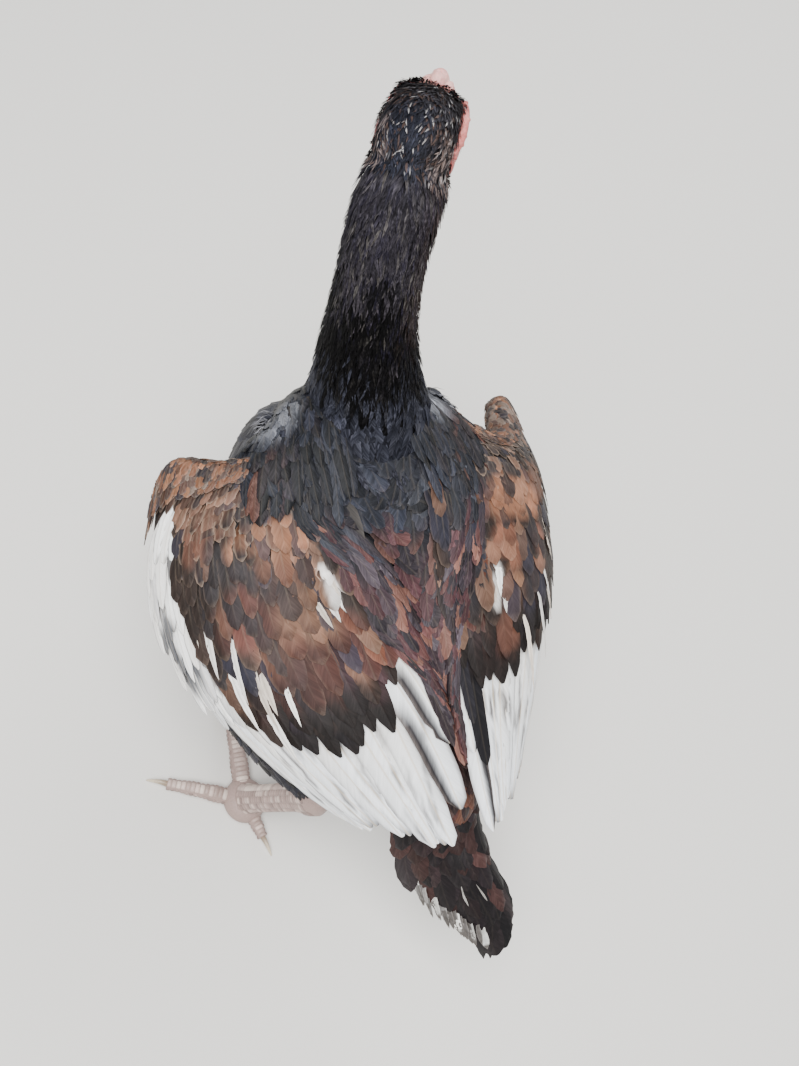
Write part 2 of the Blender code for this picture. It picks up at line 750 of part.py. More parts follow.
def middle_tail_vane(index, row):
    root, tip, height, broad = row

    def places_at(s, wide):
        along = root + (tip - root) * s
        half = TAIL_MIDDLE_HALF * wide * broad / width_at(tail_surface, 0, along)
        places = [lifted(tail_surface, 0, along, 0.5 + offset, height) for offset in (-half, 0.0, half)]
        return places, along, 0.5

    return tail_vane(f"tail_middle_{index}", places_at)


def make_tail(torso_cutter):
    """The tail: a pair of outer feathers at each step down from the middle one, and a covert on top."""
    pieces = [loft("tail", tube_rings(TAIL_CORE, TAIL_CORE_RINGS, TAIL_CORE_SIDES), "tail_feather")]
    for side in (1, -1):
        pieces += [outer_tail_vane(side, index) for index in range(TAIL_PAIRS, 0, -1)]
    pieces += [middle_tail_vane(index, row) for index, row in enumerate(TAIL_MIDDLE)]
    return cut(fuse(pieces), torso_cutter, keep_cutter=True)


def shank_rings(leg, grow=0.0):
    """The scaled shank from the hock down to the sole, its front scutes each standing proud below."""
    hock = np.asarray(leg["hock"])
    ankle = np.array((*leg["sole"], ANKLE_HEIGHT))
    along = unit(ankle - hock)
    front = unit(np.array((0.0, -1.0, 0.0)) - along * np.dot((0.0, -1.0, 0.0), along))
    side = np.cross(along, front)
    start = hock - along * SHANK_OVERRUN
    length = np.linalg.norm(ankle - start)
    rings = []
    marks = [(t, 0.0, share) for t, share in SHANK_CAP]
    pitch = (SCUTE_SPAN[1] - SCUTE_SPAN[0]) / SHANK_SCUTES
    for scute in range(SHANK_SCUTES):
        top = SCUTE_SPAN[0] + pitch * scute
        foot = top + pitch * SCUTE_SHARE
        marks += [(top, 0.0, 1.0), (foot, 1.0, 1.0)]
    marks.append((1.0, 0.0, 1.0))
    for t, proud, share in marks:
        hock_swell = math.exp(-(((t * length - HOCK_PLACE) / HOCK_LENGTH) ** 2))
        hock_swell *= HOCK_RADIUS - SHANK_RADIUS
        ankle_swell = math.exp(-(((1.0 - t) * length / ANKLE_LENGTH) ** 2)) * ANKLE_SWELL
        across = (SHANK_RADIUS + hock_swell + ankle_swell) * share + grow
        deep = (SHANK_DEPTH + hock_swell + ankle_swell) * share + grow
        ring = []
        for point in range(SHANK_SIDES):
            angle = 2 * math.pi * point / SHANK_SIDES
            plate = SCUTE_RISE * proud * max(0.0, math.cos(angle) + SCUTE_WRAP)
            ring.append(
                start + along * length * t
                + front * math.cos(angle) * (deep + plate)
                + side * math.sin(angle) * (across + plate)
            )
        rings.append(ring)
    return rings


def on_floor(rings):
    """Rings with every point under the floor laid on it, so that the sole is one flat."""
    return [[np.array((p[0], p[1], max(p[2], FLOOR))) for p in ring] for ring in rings]


def pad_rings(leg, grow=0.0):
    centre = np.array((*leg["sole"], PAD_RADIUS[2] * PAD_LEVEL))
    rings = []
    for step in range(1, PAD_RINGS):
        angle = math.pi * step / PAD_RINGS
        reach = math.sin(angle)
        height = centre + np.array((0.0, 0.0, 1.0)) * (PAD_RADIUS[2] + grow) * math.cos(angle)
        rings.append(
            oval(height, np.array((1.0, 0.0, 0.0)), np.array((0.0, 1.0, 0.0)),
                 (PAD_RADIUS[0] + grow) * reach, (PAD_RADIUS[1] + grow) * reach, PAD_SIDES)
        )
    return rings


def make_shank(side, leg, grow=0.0):
    name = "shank_left" if side > 0 else "shank_right"
    shank = loft(name if grow == 0.0 else name + "_cutter", shank_rings(leg, grow), "leg_scale")
    rings = pad_rings(leg, grow)
    pad = loft("pad", on_floor(rings) if grow == 0.0 else rings, "leg_scale")
    return fuse([shank, pad])


def toe_direction(side, turn):
    angle = math.radians(turn)
    return np.array((side * math.sin(angle), -math.cos(angle), 0.0))


def toe_middle(length, radius, t):
    """Height of a toe's middle line, arched a little between its root and its tip."""
    arch = TOE_ARCH * math.sin(math.pi * t) * min(length / TOE_FULL_LENGTH, 1.0)
    return radius * (TOE_LEVEL[0] - TOE_LEVEL[1] * t) + arch


def toe_radius(radius, t):
    knuckles = TOE_KNUCKLE * math.cos(2 * math.pi * TOE_KNUCKLES * t)
    return radius * (1.0 - (1.0 - TOE_END_SHARE) * t) * (1.0 + knuckles)


def make_toe(side, leg, toe, turn, shank_cutter):
    name, length, radius, scutes = toe
    heading = toe_direction(side, turn)
    across = np.array((-heading[1], heading[0], 0.0))
    root = np.array((*leg["sole"], 0.0)) + heading * TOE_START
    run = length - TOE_START
    marks = [(0.0, 0.0)]
    for scute in range(scutes):
        marks += [((scute + TOE_SCUTE_EDGE) / scutes, 1.0), ((scute + 1 - TOE_SCUTE_EDGE) / scutes, 0.0)]
    marks.append((1.0, 0.0))
    rings = []
    for t, proud in marks:
        r = toe_radius(radius, t)
        middle = root + heading * run * t + np.array((0.0, 0.0, toe_middle(length, radius, t)))
        ring = []
        for point in range(TOE_SIDES):
            angle = 2 * math.pi * (point + 0.5) / TOE_SIDES
            rise = SCUTE_RISE * proud * max(0.0, math.sin(angle))
            ring.append(
                middle + across * math.cos(angle) * (r * TOE_BROAD + rise)
                + np.array((0.0, 0.0, math.sin(angle) * (r + rise)))
            )
        rings.append(ring)
    label = "left" if side > 0 else "right"
    body = loft(f"toe_{label}_{name}", on_floor(rings), "leg_scale")
    return cut(body, shank_cutter, keep_cutter=True)


def make_claw(side, leg, toe, turn):
    """A claw that starts against the end of its toe and bends down to just over the floor."""
    name, length, radius, _ = toe
    heading = toe_direction(side, turn)
    across = np.array((-heading[1], heading[0], 0.0))
    thick = toe_radius(radius, 1.0) * CLAW_THICK
    start = np.array((*leg["sole"], 0.0)) + heading * (length + GAP)
    height = max(toe_middle(length, radius, 1.0), thick + CLAW_CLEARANCE)
    reach = CLAW_LENGTH * min(1.0, CLAW_SHARE[0] + radius * CLAW_SHARE[1])
    rings = []
    for step in range(CLAW_RINGS):
        t = step / (CLAW_RINGS - 1)
        taper = thick * (1.0 - t) ** CLAW_TAPER + CLAW_TIP * t
        fall = (height - CLAW_CLEARANCE - CLAW_TIP) * t**CLAW_FALL
        lift = height + CLAW_ARCH * math.sin(math.pi * t) - fall
        middle = start + heading * reach * t + np.array((0.0, 0.0, max(lift, taper + CLAW_CLEARANCE)))
        rings.append(oval(middle, across, np.array((0.0, 0.0, 1.0)), taper * CLAW_BROAD, taper, CLAW_SIDES))
    label = "left" if side > 0 else "right"
    return loft(f"claw_{label}_{name}", rings, "claw_horn")


def make_thigh(side, leg, torso_cutter, shank_cutter):
    name = "thigh_left" if side > 0 else "thigh_right"
    thigh = loft(name, tube_rings(leg["thigh"], THIGH_RINGS, THIGH_SIDES), "black_feather")
    cut(thigh, shank_cutter, keep_cutter=True)
    return cut(thigh, torso_cutter, keep_cutter=True)


def make_legs(torso_cutter):
    for side, leg in LEGS.items():
        make_shank(side, leg)
        shank_cutter = make_shank(side, leg, GAP)
        for toe, turn in zip(TOES, leg["turns"]):
            make_toe(side, leg, toe, turn, shank_cutter)
            make_claw(side, leg, toe, turn)
        make_thigh(side, leg, torso_cutter, shank_cutter)
        remove(shank_cutter)


def eyelid(side, upper):
    """One lid: a bent roll that follows the eye's edge above or below."""
    forward, left, up = EYE_PLACE
    sign = 1.0 if upper else -1.0
    path, radii = [], []
    for angle in np.linspace(0.02 * math.pi, 0.98 * math.pi, LID_RINGS - 1):
        reach = EYE_RADIUS * LID_REACH
        path.append(on_head(
            forward + math.cos(angle) * reach * 1.08,
            side * (left + EYE_RADIUS * LID_OUT - LID_WRAP * abs(math.cos(angle))),
            up + sign * math.sin(angle) * reach * LID_TALL[upper],
        ))
        radii.append(LID_RADIUS * (0.75 + 0.5 * math.sin(angle)))
    return bent_tube("lid", path, radii, LID_SIDES, "bare_skin", LID_RINGS)


def brow(side):
    path = [on_head(forward, side * left, up) for forward, left, up in BROW]
    ends = BROW_RADIUS * BROW_TAPER
    return bent_tube("brow", path, (ends, BROW_RADIUS, ends), BROW_SIDES, "bare_skin", BROW_RINGS)


def head_ball(name, side, place, size, material, rings, sides):
    """A ball on one side of the head, its half sizes given forward, up and out."""
    forward, left, up = place
    axes = head_axes()
    turned = (axes[0], axes[2], axes[1])
    return ball(name, on_head(forward, side * left, up), size, turned, material, rings, sides)


def beak_half(name, which, grow=0.0):
    sections = UPPER_BEAK if which == "upper" else LOWER_BEAK
    return loft(name, head_rings(sections, BEAK_RINGS[which], BEAK_SIDES, grow, 2.0), "beak_horn")


def make_head_parts():
    """Eyes, beak, comb, wattles and ear lobes, each fitted to the head with a thin gap."""
    upper = beak_half("beak_upper", "upper")
    lower = beak_half("beak_lower", "lower")
    comb = make_comb()
    cut(comb, beak_half("beak_cutter", "upper", GAP))
    fitted = [upper, lower, comb]
    for side, label in ((1, "left"), (-1, "right")):
        head_ball(f"eye_{label}", side, EYE_PLACE, (EYE_RADIUS,) * 3, "eye", EYE_RINGS, EYE_SIDES)
        cut(upper, head_ball("nostril", side, NOSTRIL_PLACE, NOSTRIL_SIZE, "beak_horn", PIT_RINGS, PIT_SIDES))
        fitted.append(head_ball(f"earlobe_{label}", side, *EARLOBE, "bare_skin", LOBE_RINGS, LOBE_SIDES))
        fitted.append(head_ball(f"wattle_{label}", side, *WATTLE, "bare_skin", LOBE_RINGS, LOBE_SIDES))
    head_cutter = head_form("head_cutter", GAP)
    neck_cutter = neck_form("neck_cutter", GAP)
    lower_cutter = beak_half("lower_cutter", "lower", GAP)
    for piece in fitted:
        cut(piece, head_cutter, keep_cutter=True)
        if piece.name.startswith("earlobe"):
            cut(piece, neck_cutter, keep_cutter=True)
        if piece.name.startswith("wattle"):
            cut(piece, lower_cutter, keep_cutter=True)
    for cutter in (head_cutter, neck_cutter, lower_cutter):
        remove(cutter)


def make_comb():
    rows = []
    for place, height, radius in COMB_ROWS:
        axes = head_axes()
        rings = []
        count = COMB_LOBES * 2 + 1
        for step in range(count):
            t = step / (count - 1)
            swell = 1.0 if step % 2 else COMB_DIP
            bulge = math.sin(math.pi * (0.08 + 0.84 * t)) ** 0.5
            size = radius * swell * (COMB_ENDS[0] + COMB_ENDS[1] * bulge)
            forward = COMB_SPAN[0] + (COMB_SPAN[1] - COMB_SPAN[0]) * t
            top = height - COMB_FALL * t**2
            middle = on_head(forward, place, top)
            wide, tall = size * COMB_STRETCH[0], size * COMB_STRETCH[1]
            rings.append(oval(middle, axes[1], axes[2], wide, tall, COMB_SIDES))
        rows.append(loft("comb", rings, "comb_skin"))
    return fuse(rows)


def shoulder_forms(grow=0.0):
    axes = np.eye(3)
    forms = []
    for centre, size in SHOULDERS:
        half = tuple(value + grow for value in size)
        forms.append(ball("shoulder", centre, half, axes, "black_feather", LOBE_RINGS, LOBE_SIDES))
    return forms


def make_flesh():
    """Torso, neck and head modelled as one form and parted by thin level cuts."""
    pieces = [torso_form("whole"), neck_form("neck_piece"), head_form("head_piece"), *shoulder_forms()]
    for side in (1, -1):
        pieces += [brow(side), eyelid(side, True), eyelid(side, False)]
    whole = fuse(pieces)
    axes = head_axes()
    neck_base = np.array(NECK_BASE)
    neck_tilt = unit(NECK_BASE_TILT)
    nape = on_head(*NAPE)
    nape_tilt = unit(axes[0] * NAPE_TILT[0] + axes[2] * NAPE_TILT[1])
    torso = copy_of(whole, "torso")
    cut(torso, half_space("above", neck_base, neck_tilt))
    neck = copy_of(whole, "neck")
    cut(neck, half_space("below", neck_base + neck_tilt * GAP, -neck_tilt))
    cut(neck, half_space("over", nape, nape_tilt))
    head = whole
    head.name = "head"
    cut(head, half_space("under", nape + nape_tilt * GAP, -nape_tilt))
    head.data.materials.clear()
    head.data.materials.append(finish_material("head_feather"))
    socket_size = (EYE_RADIUS + GAP,) * 3
    for side in (1, -1):
        cut(head, head_ball("socket", side, EYE_PLACE, socket_size, "eye", EYE_RINGS, EYE_SIDES))
        cut(head, head_ball("ear", side, EAR_PLACE, EAR_SIZE, "bare_skin", PIT_RINGS, PIT_SIDES))
    cut(head, mouth_slot())


def mouth_slot():
    """A thin wedge that carries the mouth's line back from the beak into the cheeks."""
    forward, left, up = (Vector(axis) for axis in head_axes())
    form = bmesh.new()
    bmesh.ops.create_cube(form, size=1.0)
    for vert in form.verts:
        reach = GAPE_FRONT if vert.co.x > 0 else GAPE_BACK
        thick = GAPE_THICK[1] if vert.co.x > 0 else GAPE_THICK[0]
        place = Vector(HEAD_CENTRE) + forward * reach
        vert.co = place + left * vert.co.y * GAPE_WIDTH + up * (MOUTH_LEVEL + vert.co.z * thick)
    mesh = bpy.data.meshes.new("mouth_slot")
    form.to_mesh(mesh)
    form.free()
    obj = bpy.data.objects.new("mouth_slot", mesh)
    bpy.context.scene.collection.objects.link(obj)
    return obj


def stand_on_origin():
    """Moves every piece so that the origin is on the floor below the middle of the bird."""
    nodes = [obj for obj in bpy.context.scene.collection.objects if obj.type == "MESH"]
    corners = np.array([vert.co[:] for obj in nodes for vert in obj.data.vertices])
    low, high = corners.min(axis=0), corners.max(axis=0)
    shift = Vector((-(low[0] + high[0]) / 2, -(low[1] + high[1]) / 2, -low[2]))
    parts = bpy.data.collections.new("aseel_chicken")
    bpy.context.scene.collection.children.link(parts)
    for obj in nodes:
        obj.data.transform(Matrix.Translation(shift))
        obj.data.shade_smooth()
        obj.data.set_sharp_from_angle(angle=SHARP_ANGLE)
        bpy.context.scene.collection.objects.unlink(obj)
        parts.objects.link(obj)
    return shift


def main():
    clear_scene()
    make_flesh()
    make_head_parts()
    torso_cutter = torso_form("torso_cutter", GAP)
    cutters = [torso_cutter, neck_form("neck_cutter", GAP), *shoulder_forms(GAP)]
    for side in (1, -1):
        make_wing(side, cutters)
    make_tail(torso_cutter)
    make_legs(torso_cutter)
    for cutter in cutters:
        remove(cutter)
    shift = stand_on_origin()
    print("moved to the origin by", tuple(round(value, 5) for value in shift))


main()
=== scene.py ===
"""Aseel chicken: the looks of a life-size still model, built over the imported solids.

Lengths are in metres, +Z up. The bird faces -Y and its own left is +X. The shape's values below are those
of the solids, given before the solids were moved so that the origin is below their middle; SHIFT moves
everything here by the same amount.
"""

import math

import bmesh
import bpy
import numpy as np
from bpy.props import FloatProperty, FloatVectorProperty, IntProperty, PointerProperty
from mathutils import Matrix, Vector
from mathutils.bvhtree import BVHTree
from mathutils.kdtree import KDTree


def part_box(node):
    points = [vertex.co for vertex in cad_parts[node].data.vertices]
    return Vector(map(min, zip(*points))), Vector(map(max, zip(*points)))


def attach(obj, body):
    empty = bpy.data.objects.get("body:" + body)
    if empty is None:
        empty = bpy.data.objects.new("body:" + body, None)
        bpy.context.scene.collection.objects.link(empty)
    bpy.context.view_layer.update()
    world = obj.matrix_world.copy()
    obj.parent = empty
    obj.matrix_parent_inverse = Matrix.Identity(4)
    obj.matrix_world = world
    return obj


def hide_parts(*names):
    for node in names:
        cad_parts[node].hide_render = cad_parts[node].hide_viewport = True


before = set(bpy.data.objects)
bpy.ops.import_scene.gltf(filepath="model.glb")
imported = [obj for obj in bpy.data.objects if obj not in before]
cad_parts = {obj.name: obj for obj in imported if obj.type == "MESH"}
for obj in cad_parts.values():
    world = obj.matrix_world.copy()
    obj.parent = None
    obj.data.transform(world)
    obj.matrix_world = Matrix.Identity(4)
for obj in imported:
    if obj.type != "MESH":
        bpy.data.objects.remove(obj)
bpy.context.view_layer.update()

bl_info = {
    "name": "Aseel chicken",
    "version": (1, 0, 0),
    "blender": (4, 5, 0),
    "location": "View3D > Sidebar > Aseel",
    "description": "Builds a life-size aseel chicken with its plumage over the packed solids",
    "category": "Object",
}

# Shape of the solids
TORSO_POWER = 2.15
TORSO_SECTIONS = (
    (-0.1250, 0.2070, -0.1400, 0.1850, 0.0120),
    (-0.1170, 0.2200, -0.1440, 0.1670, 0.0310),
    (-0.1020, 0.2290, -0.1400, 0.1420, 0.0460),
    (-0.0830, 0.2290, -0.1280, 0.1200, 0.0550),
    (-0.0620, 0.2190, -0.1100, 0.1030, 0.0600),
    (-0.0360, 0.2030, -0.0860, 0.0920, 0.0610),
    (-0.0120, 0.1880, -0.0560, 0.0860, 0.0590),
    (0.0120, 0.1770, -0.0240, 0.0860, 0.0540),
    (0.0360, 0.1700, 0.0080, 0.0910, 0.0470),
    (0.0580, 0.1640, 0.0380, 0.1010, 0.0380),
    (0.0760, 0.1560, 0.0640, 0.1120, 0.0270),
    (0.0880, 0.1470, 0.0820, 0.1220, 0.0160),
    (0.0930, 0.1410, 0.0910, 0.1290, 0.0070),
)
SHOULDERS = (
    ((0.0345, -0.0990, 0.2110), (0.0150, 0.0200, 0.0135)),
    ((-0.0430, -0.0960, 0.2120), (0.0155, 0.0200, 0.0135)),
)
NECK_SECTIONS = (
    (-0.0070, -0.1000, 0.2020, 0.0330, 0.0280),
    (-0.0065, -0.1015, 0.2230, 0.0315, 0.0300),
    (-0.0035, -0.1045, 0.2440, 0.0268, 0.0275),
    (-0.0003, -0.1085, 0.2650, 0.0228, 0.0240),
    (0.0025, -0.1120, 0.2900, 0.0193, 0.0205),
    (0.0048, -0.1145, 0.3150, 0.0175, 0.0186),
    (0.0046, -0.1190, 0.3390, 0.0174, 0.0184),
    (0.0004, -0.1255, 0.3570, 0.0166, 0.0176),
    (-0.0040, -0.1310, 0.3680, 0.0115, 0.0120),
)
HEAD_CENTRE = (-0.0125, -0.1440, 0.3665)
HEAD_TURN = math.radians(41.0)
HEAD_DIP = math.radians(17.0)
HEAD_TILT = math.radians(-6.0)
HEAD_POWER = 2.2
HEAD_SECTIONS = (
    (-0.0318, 0.0022, -0.0108, 0.0054),
    (-0.0278, 0.0081, -0.0178, 0.0119),
    (-0.0201, 0.0130, -0.0221, 0.0154),
    (-0.0117, 0.0151, -0.0221, 0.0166),
    (-0.0032, 0.0152, -0.0203, 0.0161),
    (0.0045, 0.0133, -0.0175, 0.0144),
    (0.0110, 0.0096, -0.0142, 0.0112),
    (0.0160, 0.0062, -0.0112, 0.0080),
    (0.0182, 0.0030, -0.0080, 0.0045),
)
EYE_PLACE = (0.0022, 0.0098, 0.0012)
EYE_RADIUS = 0.0054
EYE_TILT = math.radians(15.0)
# Rings of the lids: how far from the eye's middle, how high over the skin, and how thick
LIDS = ((0.0037, 0.00055, 0.00080), (0.0051, 0.00030, 0.00060), (0.0066, 0.00010, 0.00055))
BROW = ((-0.0080, 0.0118, 0.0072), (0.0015, 0.0124, 0.0085), (0.0105, 0.0088, 0.0066))
BROW_RADIUS = 0.0028
EAR_PLACE = (-0.0125, 0.0150, -0.0035)
EAR_SIZE = (0.0024, 0.0029, 0.0019)
EARLOBE = ((-0.0115, 0.0142, -0.0095), (0.0036, 0.0056, 0.0026))
WATTLE = ((0.0095, 0.0045, -0.0150), (0.0052, 0.0058, 0.0017))
UPPER_BEAK = (
    (0.0125, 0.0060, -0.0045, 0.0064),
    (0.0180, 0.0062, -0.0047, 0.0068),
    (0.0235, 0.0046, -0.0053, 0.0055),
    (0.0290, 0.0012, -0.0066, 0.0038),
    (0.0335, -0.0035, -0.0086, 0.0022),
    (0.0358, -0.0085, -0.0108, 0.0009),
)
LOWER_BEAK = (
    (0.0125, -0.0049, -0.0108, 0.0058),
    (0.0180, -0.0051, -0.0110, 0.0058),
    (0.0235, -0.0057, -0.0108, 0.0044),
    (0.0285, -0.0069, -0.0104, 0.0025),
    (0.0312, -0.0080, -0.0098, 0.0010),
)
NOSTRIL_PLACE = (0.0205, 0.0056, 0.0016)
MOUTH_LEVEL = -0.0047
GAPE_BACK = 0.0085
GAPE_FRONT = 0.0240
COMB_ROWS = ((-0.0006, 0.0146, 0.0046), (0.0036, 0.0122, 0.0032), (-0.0048, 0.0122, 0.0032))
COMB_SPAN = (0.0000, 0.0212)
COMB_FALL = 0.0100
WING_ROWS = (
    ((0.0300, -0.0900, 0.2310), (0.0520, -0.0860, 0.2260), (0.0720, -0.0920, 0.2180),
     (0.0890, -0.1010, 0.2050), (0.0980, -0.0940, 0.1890)),
    ((0.0350, -0.0560, 0.2200), (0.0610, -0.0600, 0.2150), (0.0850, -0.0640, 0.2020),
     (0.1020, -0.0620, 0.1820), (0.1080, -0.0560, 0.1580)),
    ((0.0310, -0.0120, 0.1990), (0.0590, -0.0140, 0.1950), (0.0830, -0.0140, 0.1830),
     (0.0990, -0.0120, 0.1660), (0.1030, -0.0080, 0.1480)),
    ((0.0220, 0.0400, 0.1810), (0.0450, 0.0380, 0.1770), (0.0650, 0.0360, 0.1680),
     (0.0790, 0.0340, 0.1560), (0.0850, 0.0320, 0.1420)),
    ((0.0125, 0.1000, 0.1530), (0.0240, 0.0960, 0.1500), (0.0350, 0.0910, 0.1440),
     (0.0440, 0.0860, 0.1370), (0.0500, 0.0800, 0.1290)),
)
REAR_SWING = -0.0055
WING_TUCK = {1: 0.0, -1: 0.016}
TUCK_RUN = 0.6
WRIST_REACH = {1: 0.0, -1: 0.0035}
LEAD_NOTCH = {1: 0.002, -1: 0.019}
NOTCH_PLACE = 0.48
NOTCH_WIDTH = 0.22
NOTCH_FADE = 0.25
WING_CORE_END = 0.50
WING_CORE_TOP = 0.0030
WING_CORE_UNDER = 0.0085
WING_CORE_SPACING = 1.25
WING_CORE_FRONT = (0.30, 3.2)
WING_CORE_THINNING = (0.72, 1.5)
WING_CORE_RIM = 0.25
TAIL_ROWS = (
    ((0.0220, 0.0720, 0.1240), (0.0120, 0.0740, 0.1330), (0.0010, 0.0750, 0.1360),
     (-0.0100, 0.0740, 0.1340), (-0.0200, 0.0720, 0.1270)),
    ((0.0210, 0.0970, 0.0990), (0.0120, 0.1010, 0.1130), (0.0020, 0.1030, 0.1220),
     (-0.0080, 0.1020, 0.1240), (-0.0180, 0.1000, 0.1190)),
    ((0.0100, 0.1290, 0.0820), (0.0030, 0.1330, 0.0940), (-0.0070, 0.1360, 0.1040),
     (-0.0180, 0.1350, 0.1070), (-0.0280, 0.1320, 0.1020)),
    ((-0.0060, 0.1500, 0.0780), (-0.0090, 0.1560, 0.0850), (-0.0150, 0.1590, 0.0920),
     (-0.0220, 0.1570, 0.0940), (-0.0290, 0.1510, 0.0920)),
)
LEGS = {
    1: {
        "sole": (0.0665, 0.0230),
        "hock": (0.0500, 0.0480, 0.0930),
        "turns": (-10.0, 58.0, -98.0, 188.0),
        "thigh": (
            (0.0497, 0.0485, 0.0925, 0.0078),
            (0.0512, 0.0380, 0.0985, 0.0125),
            (0.0555, 0.0180, 0.1070, 0.0215),
            (0.0590, -0.0080, 0.1170, 0.0280),
            (0.0550, -0.0350, 0.1290, 0.0310),
            (0.0450, -0.0600, 0.1420, 0.0270),
            (0.0380, -0.0720, 0.1480, 0.0150),
        ),
    },
    -1: {
        "sole": (-0.0560, -0.0470),
        "hock": (-0.0500, -0.0170, 0.0940),
        "turns": (4.0, 59.0, -44.0, 180.0),
        "thigh": (
            (-0.0498, -0.0165, 0.0935, 0.0078),
            (-0.0515, -0.0255, 0.1010, 0.0125),
            (-0.0560, -0.0400, 0.1130, 0.0215),
            (-0.0580, -0.0560, 0.1260, 0.0270),
            (-0.0540, -0.0720, 0.1390, 0.0300),
            (-0.0440, -0.0860, 0.1520, 0.0270),
            (-0.0370, -0.0930, 0.1590, 0.0150),
        ),
    },
}
SHANK_RADIUS = 0.0062
SHANK_DEPTH = 0.0076
HOCK_RADIUS = 0.0088
SHANK_OVERRUN = 0.012
HOCK_PLACE = 0.011
HOCK_LENGTH = 0.012
ANKLE_SWELL = 0.0015
ANKLE_LENGTH = 0.010
PAD_RADIUS = (0.0125, 0.0135, 0.0085)
PAD_LEVEL = 0.62
ANKLE_HEIGHT = 0.0075
TOES = (
    ("middle", 0.0560, 0.0056, 7),
    ("outer", 0.0470, 0.0050, 6),
    ("inner", 0.0430, 0.0050, 5),
    ("hind", 0.0240, 0.0044, 3),
)
TOE_START = 0.0050
TOE_END_SHARE = 0.60
TOE_LEVEL = (0.80, 0.12)
TOE_ARCH = 0.0022
TOE_FULL_LENGTH = 0.05
TOE_KNUCKLE = 0.05
TOE_KNUCKLES = 3
TOE_BROAD = 1.05
CLAW_LENGTH = 0.0125
CLAW_CLEARANCE = 0.0006
CLAW_THICK = 0.72
CLAW_TAPER = 0.75
CLAW_TIP = 0.00035
CLAW_ARCH = 0.0016
CLAW_FALL = 1.6
CLAW_SHARE = (0.7, 60.0)
CLAW_BROAD = 0.85
NAPE_TILT = (0.62, 0.78)
NAPE_LEVEL = -0.0231
BACK_RISE = -0.0030
# Where the mantle ends on each wing: along, across
LEFT_BACK_EDGE = ((0.0, 0.12), (0.28, 0.09), (0.40, -0.03), (0.56, -0.07), (0.68, -0.17), (0.84, -0.21))
RIGHT_BACK_EDGE = ((0.0, 0.12), (0.34, 0.10), (0.46, 0.02), (0.60, -0.12), (0.74, -0.27), (0.84, -0.33))

FACE_RIDGE = ((0.0120, 0.0090, 0.0050), (0.0040, 0.0128, 0.0076), (-0.0050, 0.0152, 0.0050),
              (-0.0125, 0.0160, 0.0012), (-0.0175, 0.0150, -0.0040))

# Camera: where it stands, its right, up and back directions, and its lens
CAMERA_PLACE = (0.2015, 0.1303, 0.6508)
CAMERA_RIGHT = (-0.8864, 0.3784, 0.2665)
CAMERA_UP = (-0.2366, -0.8653, 0.4419)
CAMERA_BACK = (0.3979, 0.3287, 0.8566)
CAMERA_LENS = 36.10
CAMERA_SENSOR = 36.0

# Feather outlines as shares of length and of half width
ROUND_VANE = ((0.0, 0.25), (0.15, 0.62), (0.35, 0.90), (0.60, 1.0), (0.80, 0.93), (0.93, 0.66), (1.0, 0.12))
FLIGHT_VANE = ((0.0, 0.30), (0.08, 0.62), (0.30, 0.92), (0.60, 1.0), (0.88, 0.92), (0.97, 0.66), (1.0, 0.16))
HACKLE_VANE = ((0.0, 0.40), (0.20, 0.90), (0.45, 1.0), (0.70, 0.74), (0.90, 0.34), (1.0, 0.03))
SPEAR_VANE = ((0.0, 0.05), (0.15, 0.50), (0.40, 0.95), (0.60, 1.0), (0.80, 0.70), (0.93, 0.32), (1.0, 0.04))
BARB_SLANT = 0.10

# Parts of an unwrap of the skin: left, bottom, width and height of each region's patch
SKIN_PATCHES = {
    "torso": (0.01, 0.01, 0.56, 0.56),
    "neck": (0.59, 0.01, 0.40, 0.40),
    "head": (0.01, 0.60, 0.38, 0.38),
    "thigh_left": (0.42, 0.60, 0.27, 0.38),
    "thigh_right": (0.71, 0.60, 0.27, 0.38),
}
PATCH = 0.003


def linear(code):
    """The linear red, green and blue of a hex sRGB colour."""
    values = np.array([int(code[i : i + 2], 16) for i in (1, 3, 5)]) / 255.0
    return np.where(values <= 0.04045, values / 12.92, ((values + 0.055) / 1.055) ** 2.4)


def colour_setting(name, description, code):
    return FloatVectorProperty(name=name, description=description, subtype="COLOR", size=3, min=0.0, max=1.0,
                               default=[float(value) for value in linear(code)])


class AseelSettings(bpy.types.PropertyGroup):
    """Sizes and colours that a user may change before building."""

    skin_voxel: FloatProperty(
        name="Skin fineness", description="Grid size of the skin under the plumage", default=0.0018, min=0.0012,
        max=0.004, subtype="DISTANCE", unit="LENGTH",
    )
    spacing: FloatProperty(
        name="Feather spacing",
        description="Room between the feathers of body, neck and head, as a share of the usual",
        default=1.0, min=0.85, max=3.0,
    )
    seed: IntProperty(
        name="Seed", description="Another number lays the feathers with other small differences", default=0, min=0,
    )
    white: colour_setting("White feathers", "Colour of the wings' flight feathers", "#f4f6f8")
    comb: colour_setting("Comb", "Colour of the comb", "#e6b7ac")
    face: colour_setting("Face", "Colour of face, lids, lobes and wattles", "#cf8078")
    iris: colour_setting("Iris", "Colour of the eyes' irises", "#c9a25a")
    beak: colour_setting("Beak", "Colour of the beak's horn", "#c9b482")
    floor: colour_setting("Floor", "Colour of the stage's floor", "#d9d6d0")


def settings():
    return bpy.context.scene.aseel


def dice(number):
    """Random numbers that stay the same for each part of the bird until the seed is changed."""
    return np.random.default_rng(number + 1000 * settings().seed)


def unit(vector):
    vector = np.asarray(vector, float)
    return vector / np.maximum(np.linalg.norm(vector, axis=-1, keepdims=True), 1e-12)


def ramp(values, low, high):
    """0 below low, 1 above high, and smooth between."""
    t = np.clip((np.asarray(values, float) - low) / (high - low), 0.0, 1.0)
    return t * t * (3.0 - 2.0 * t)


def mix(a, b, share):
    return a + (b - a) * np.asarray(share)[..., None]


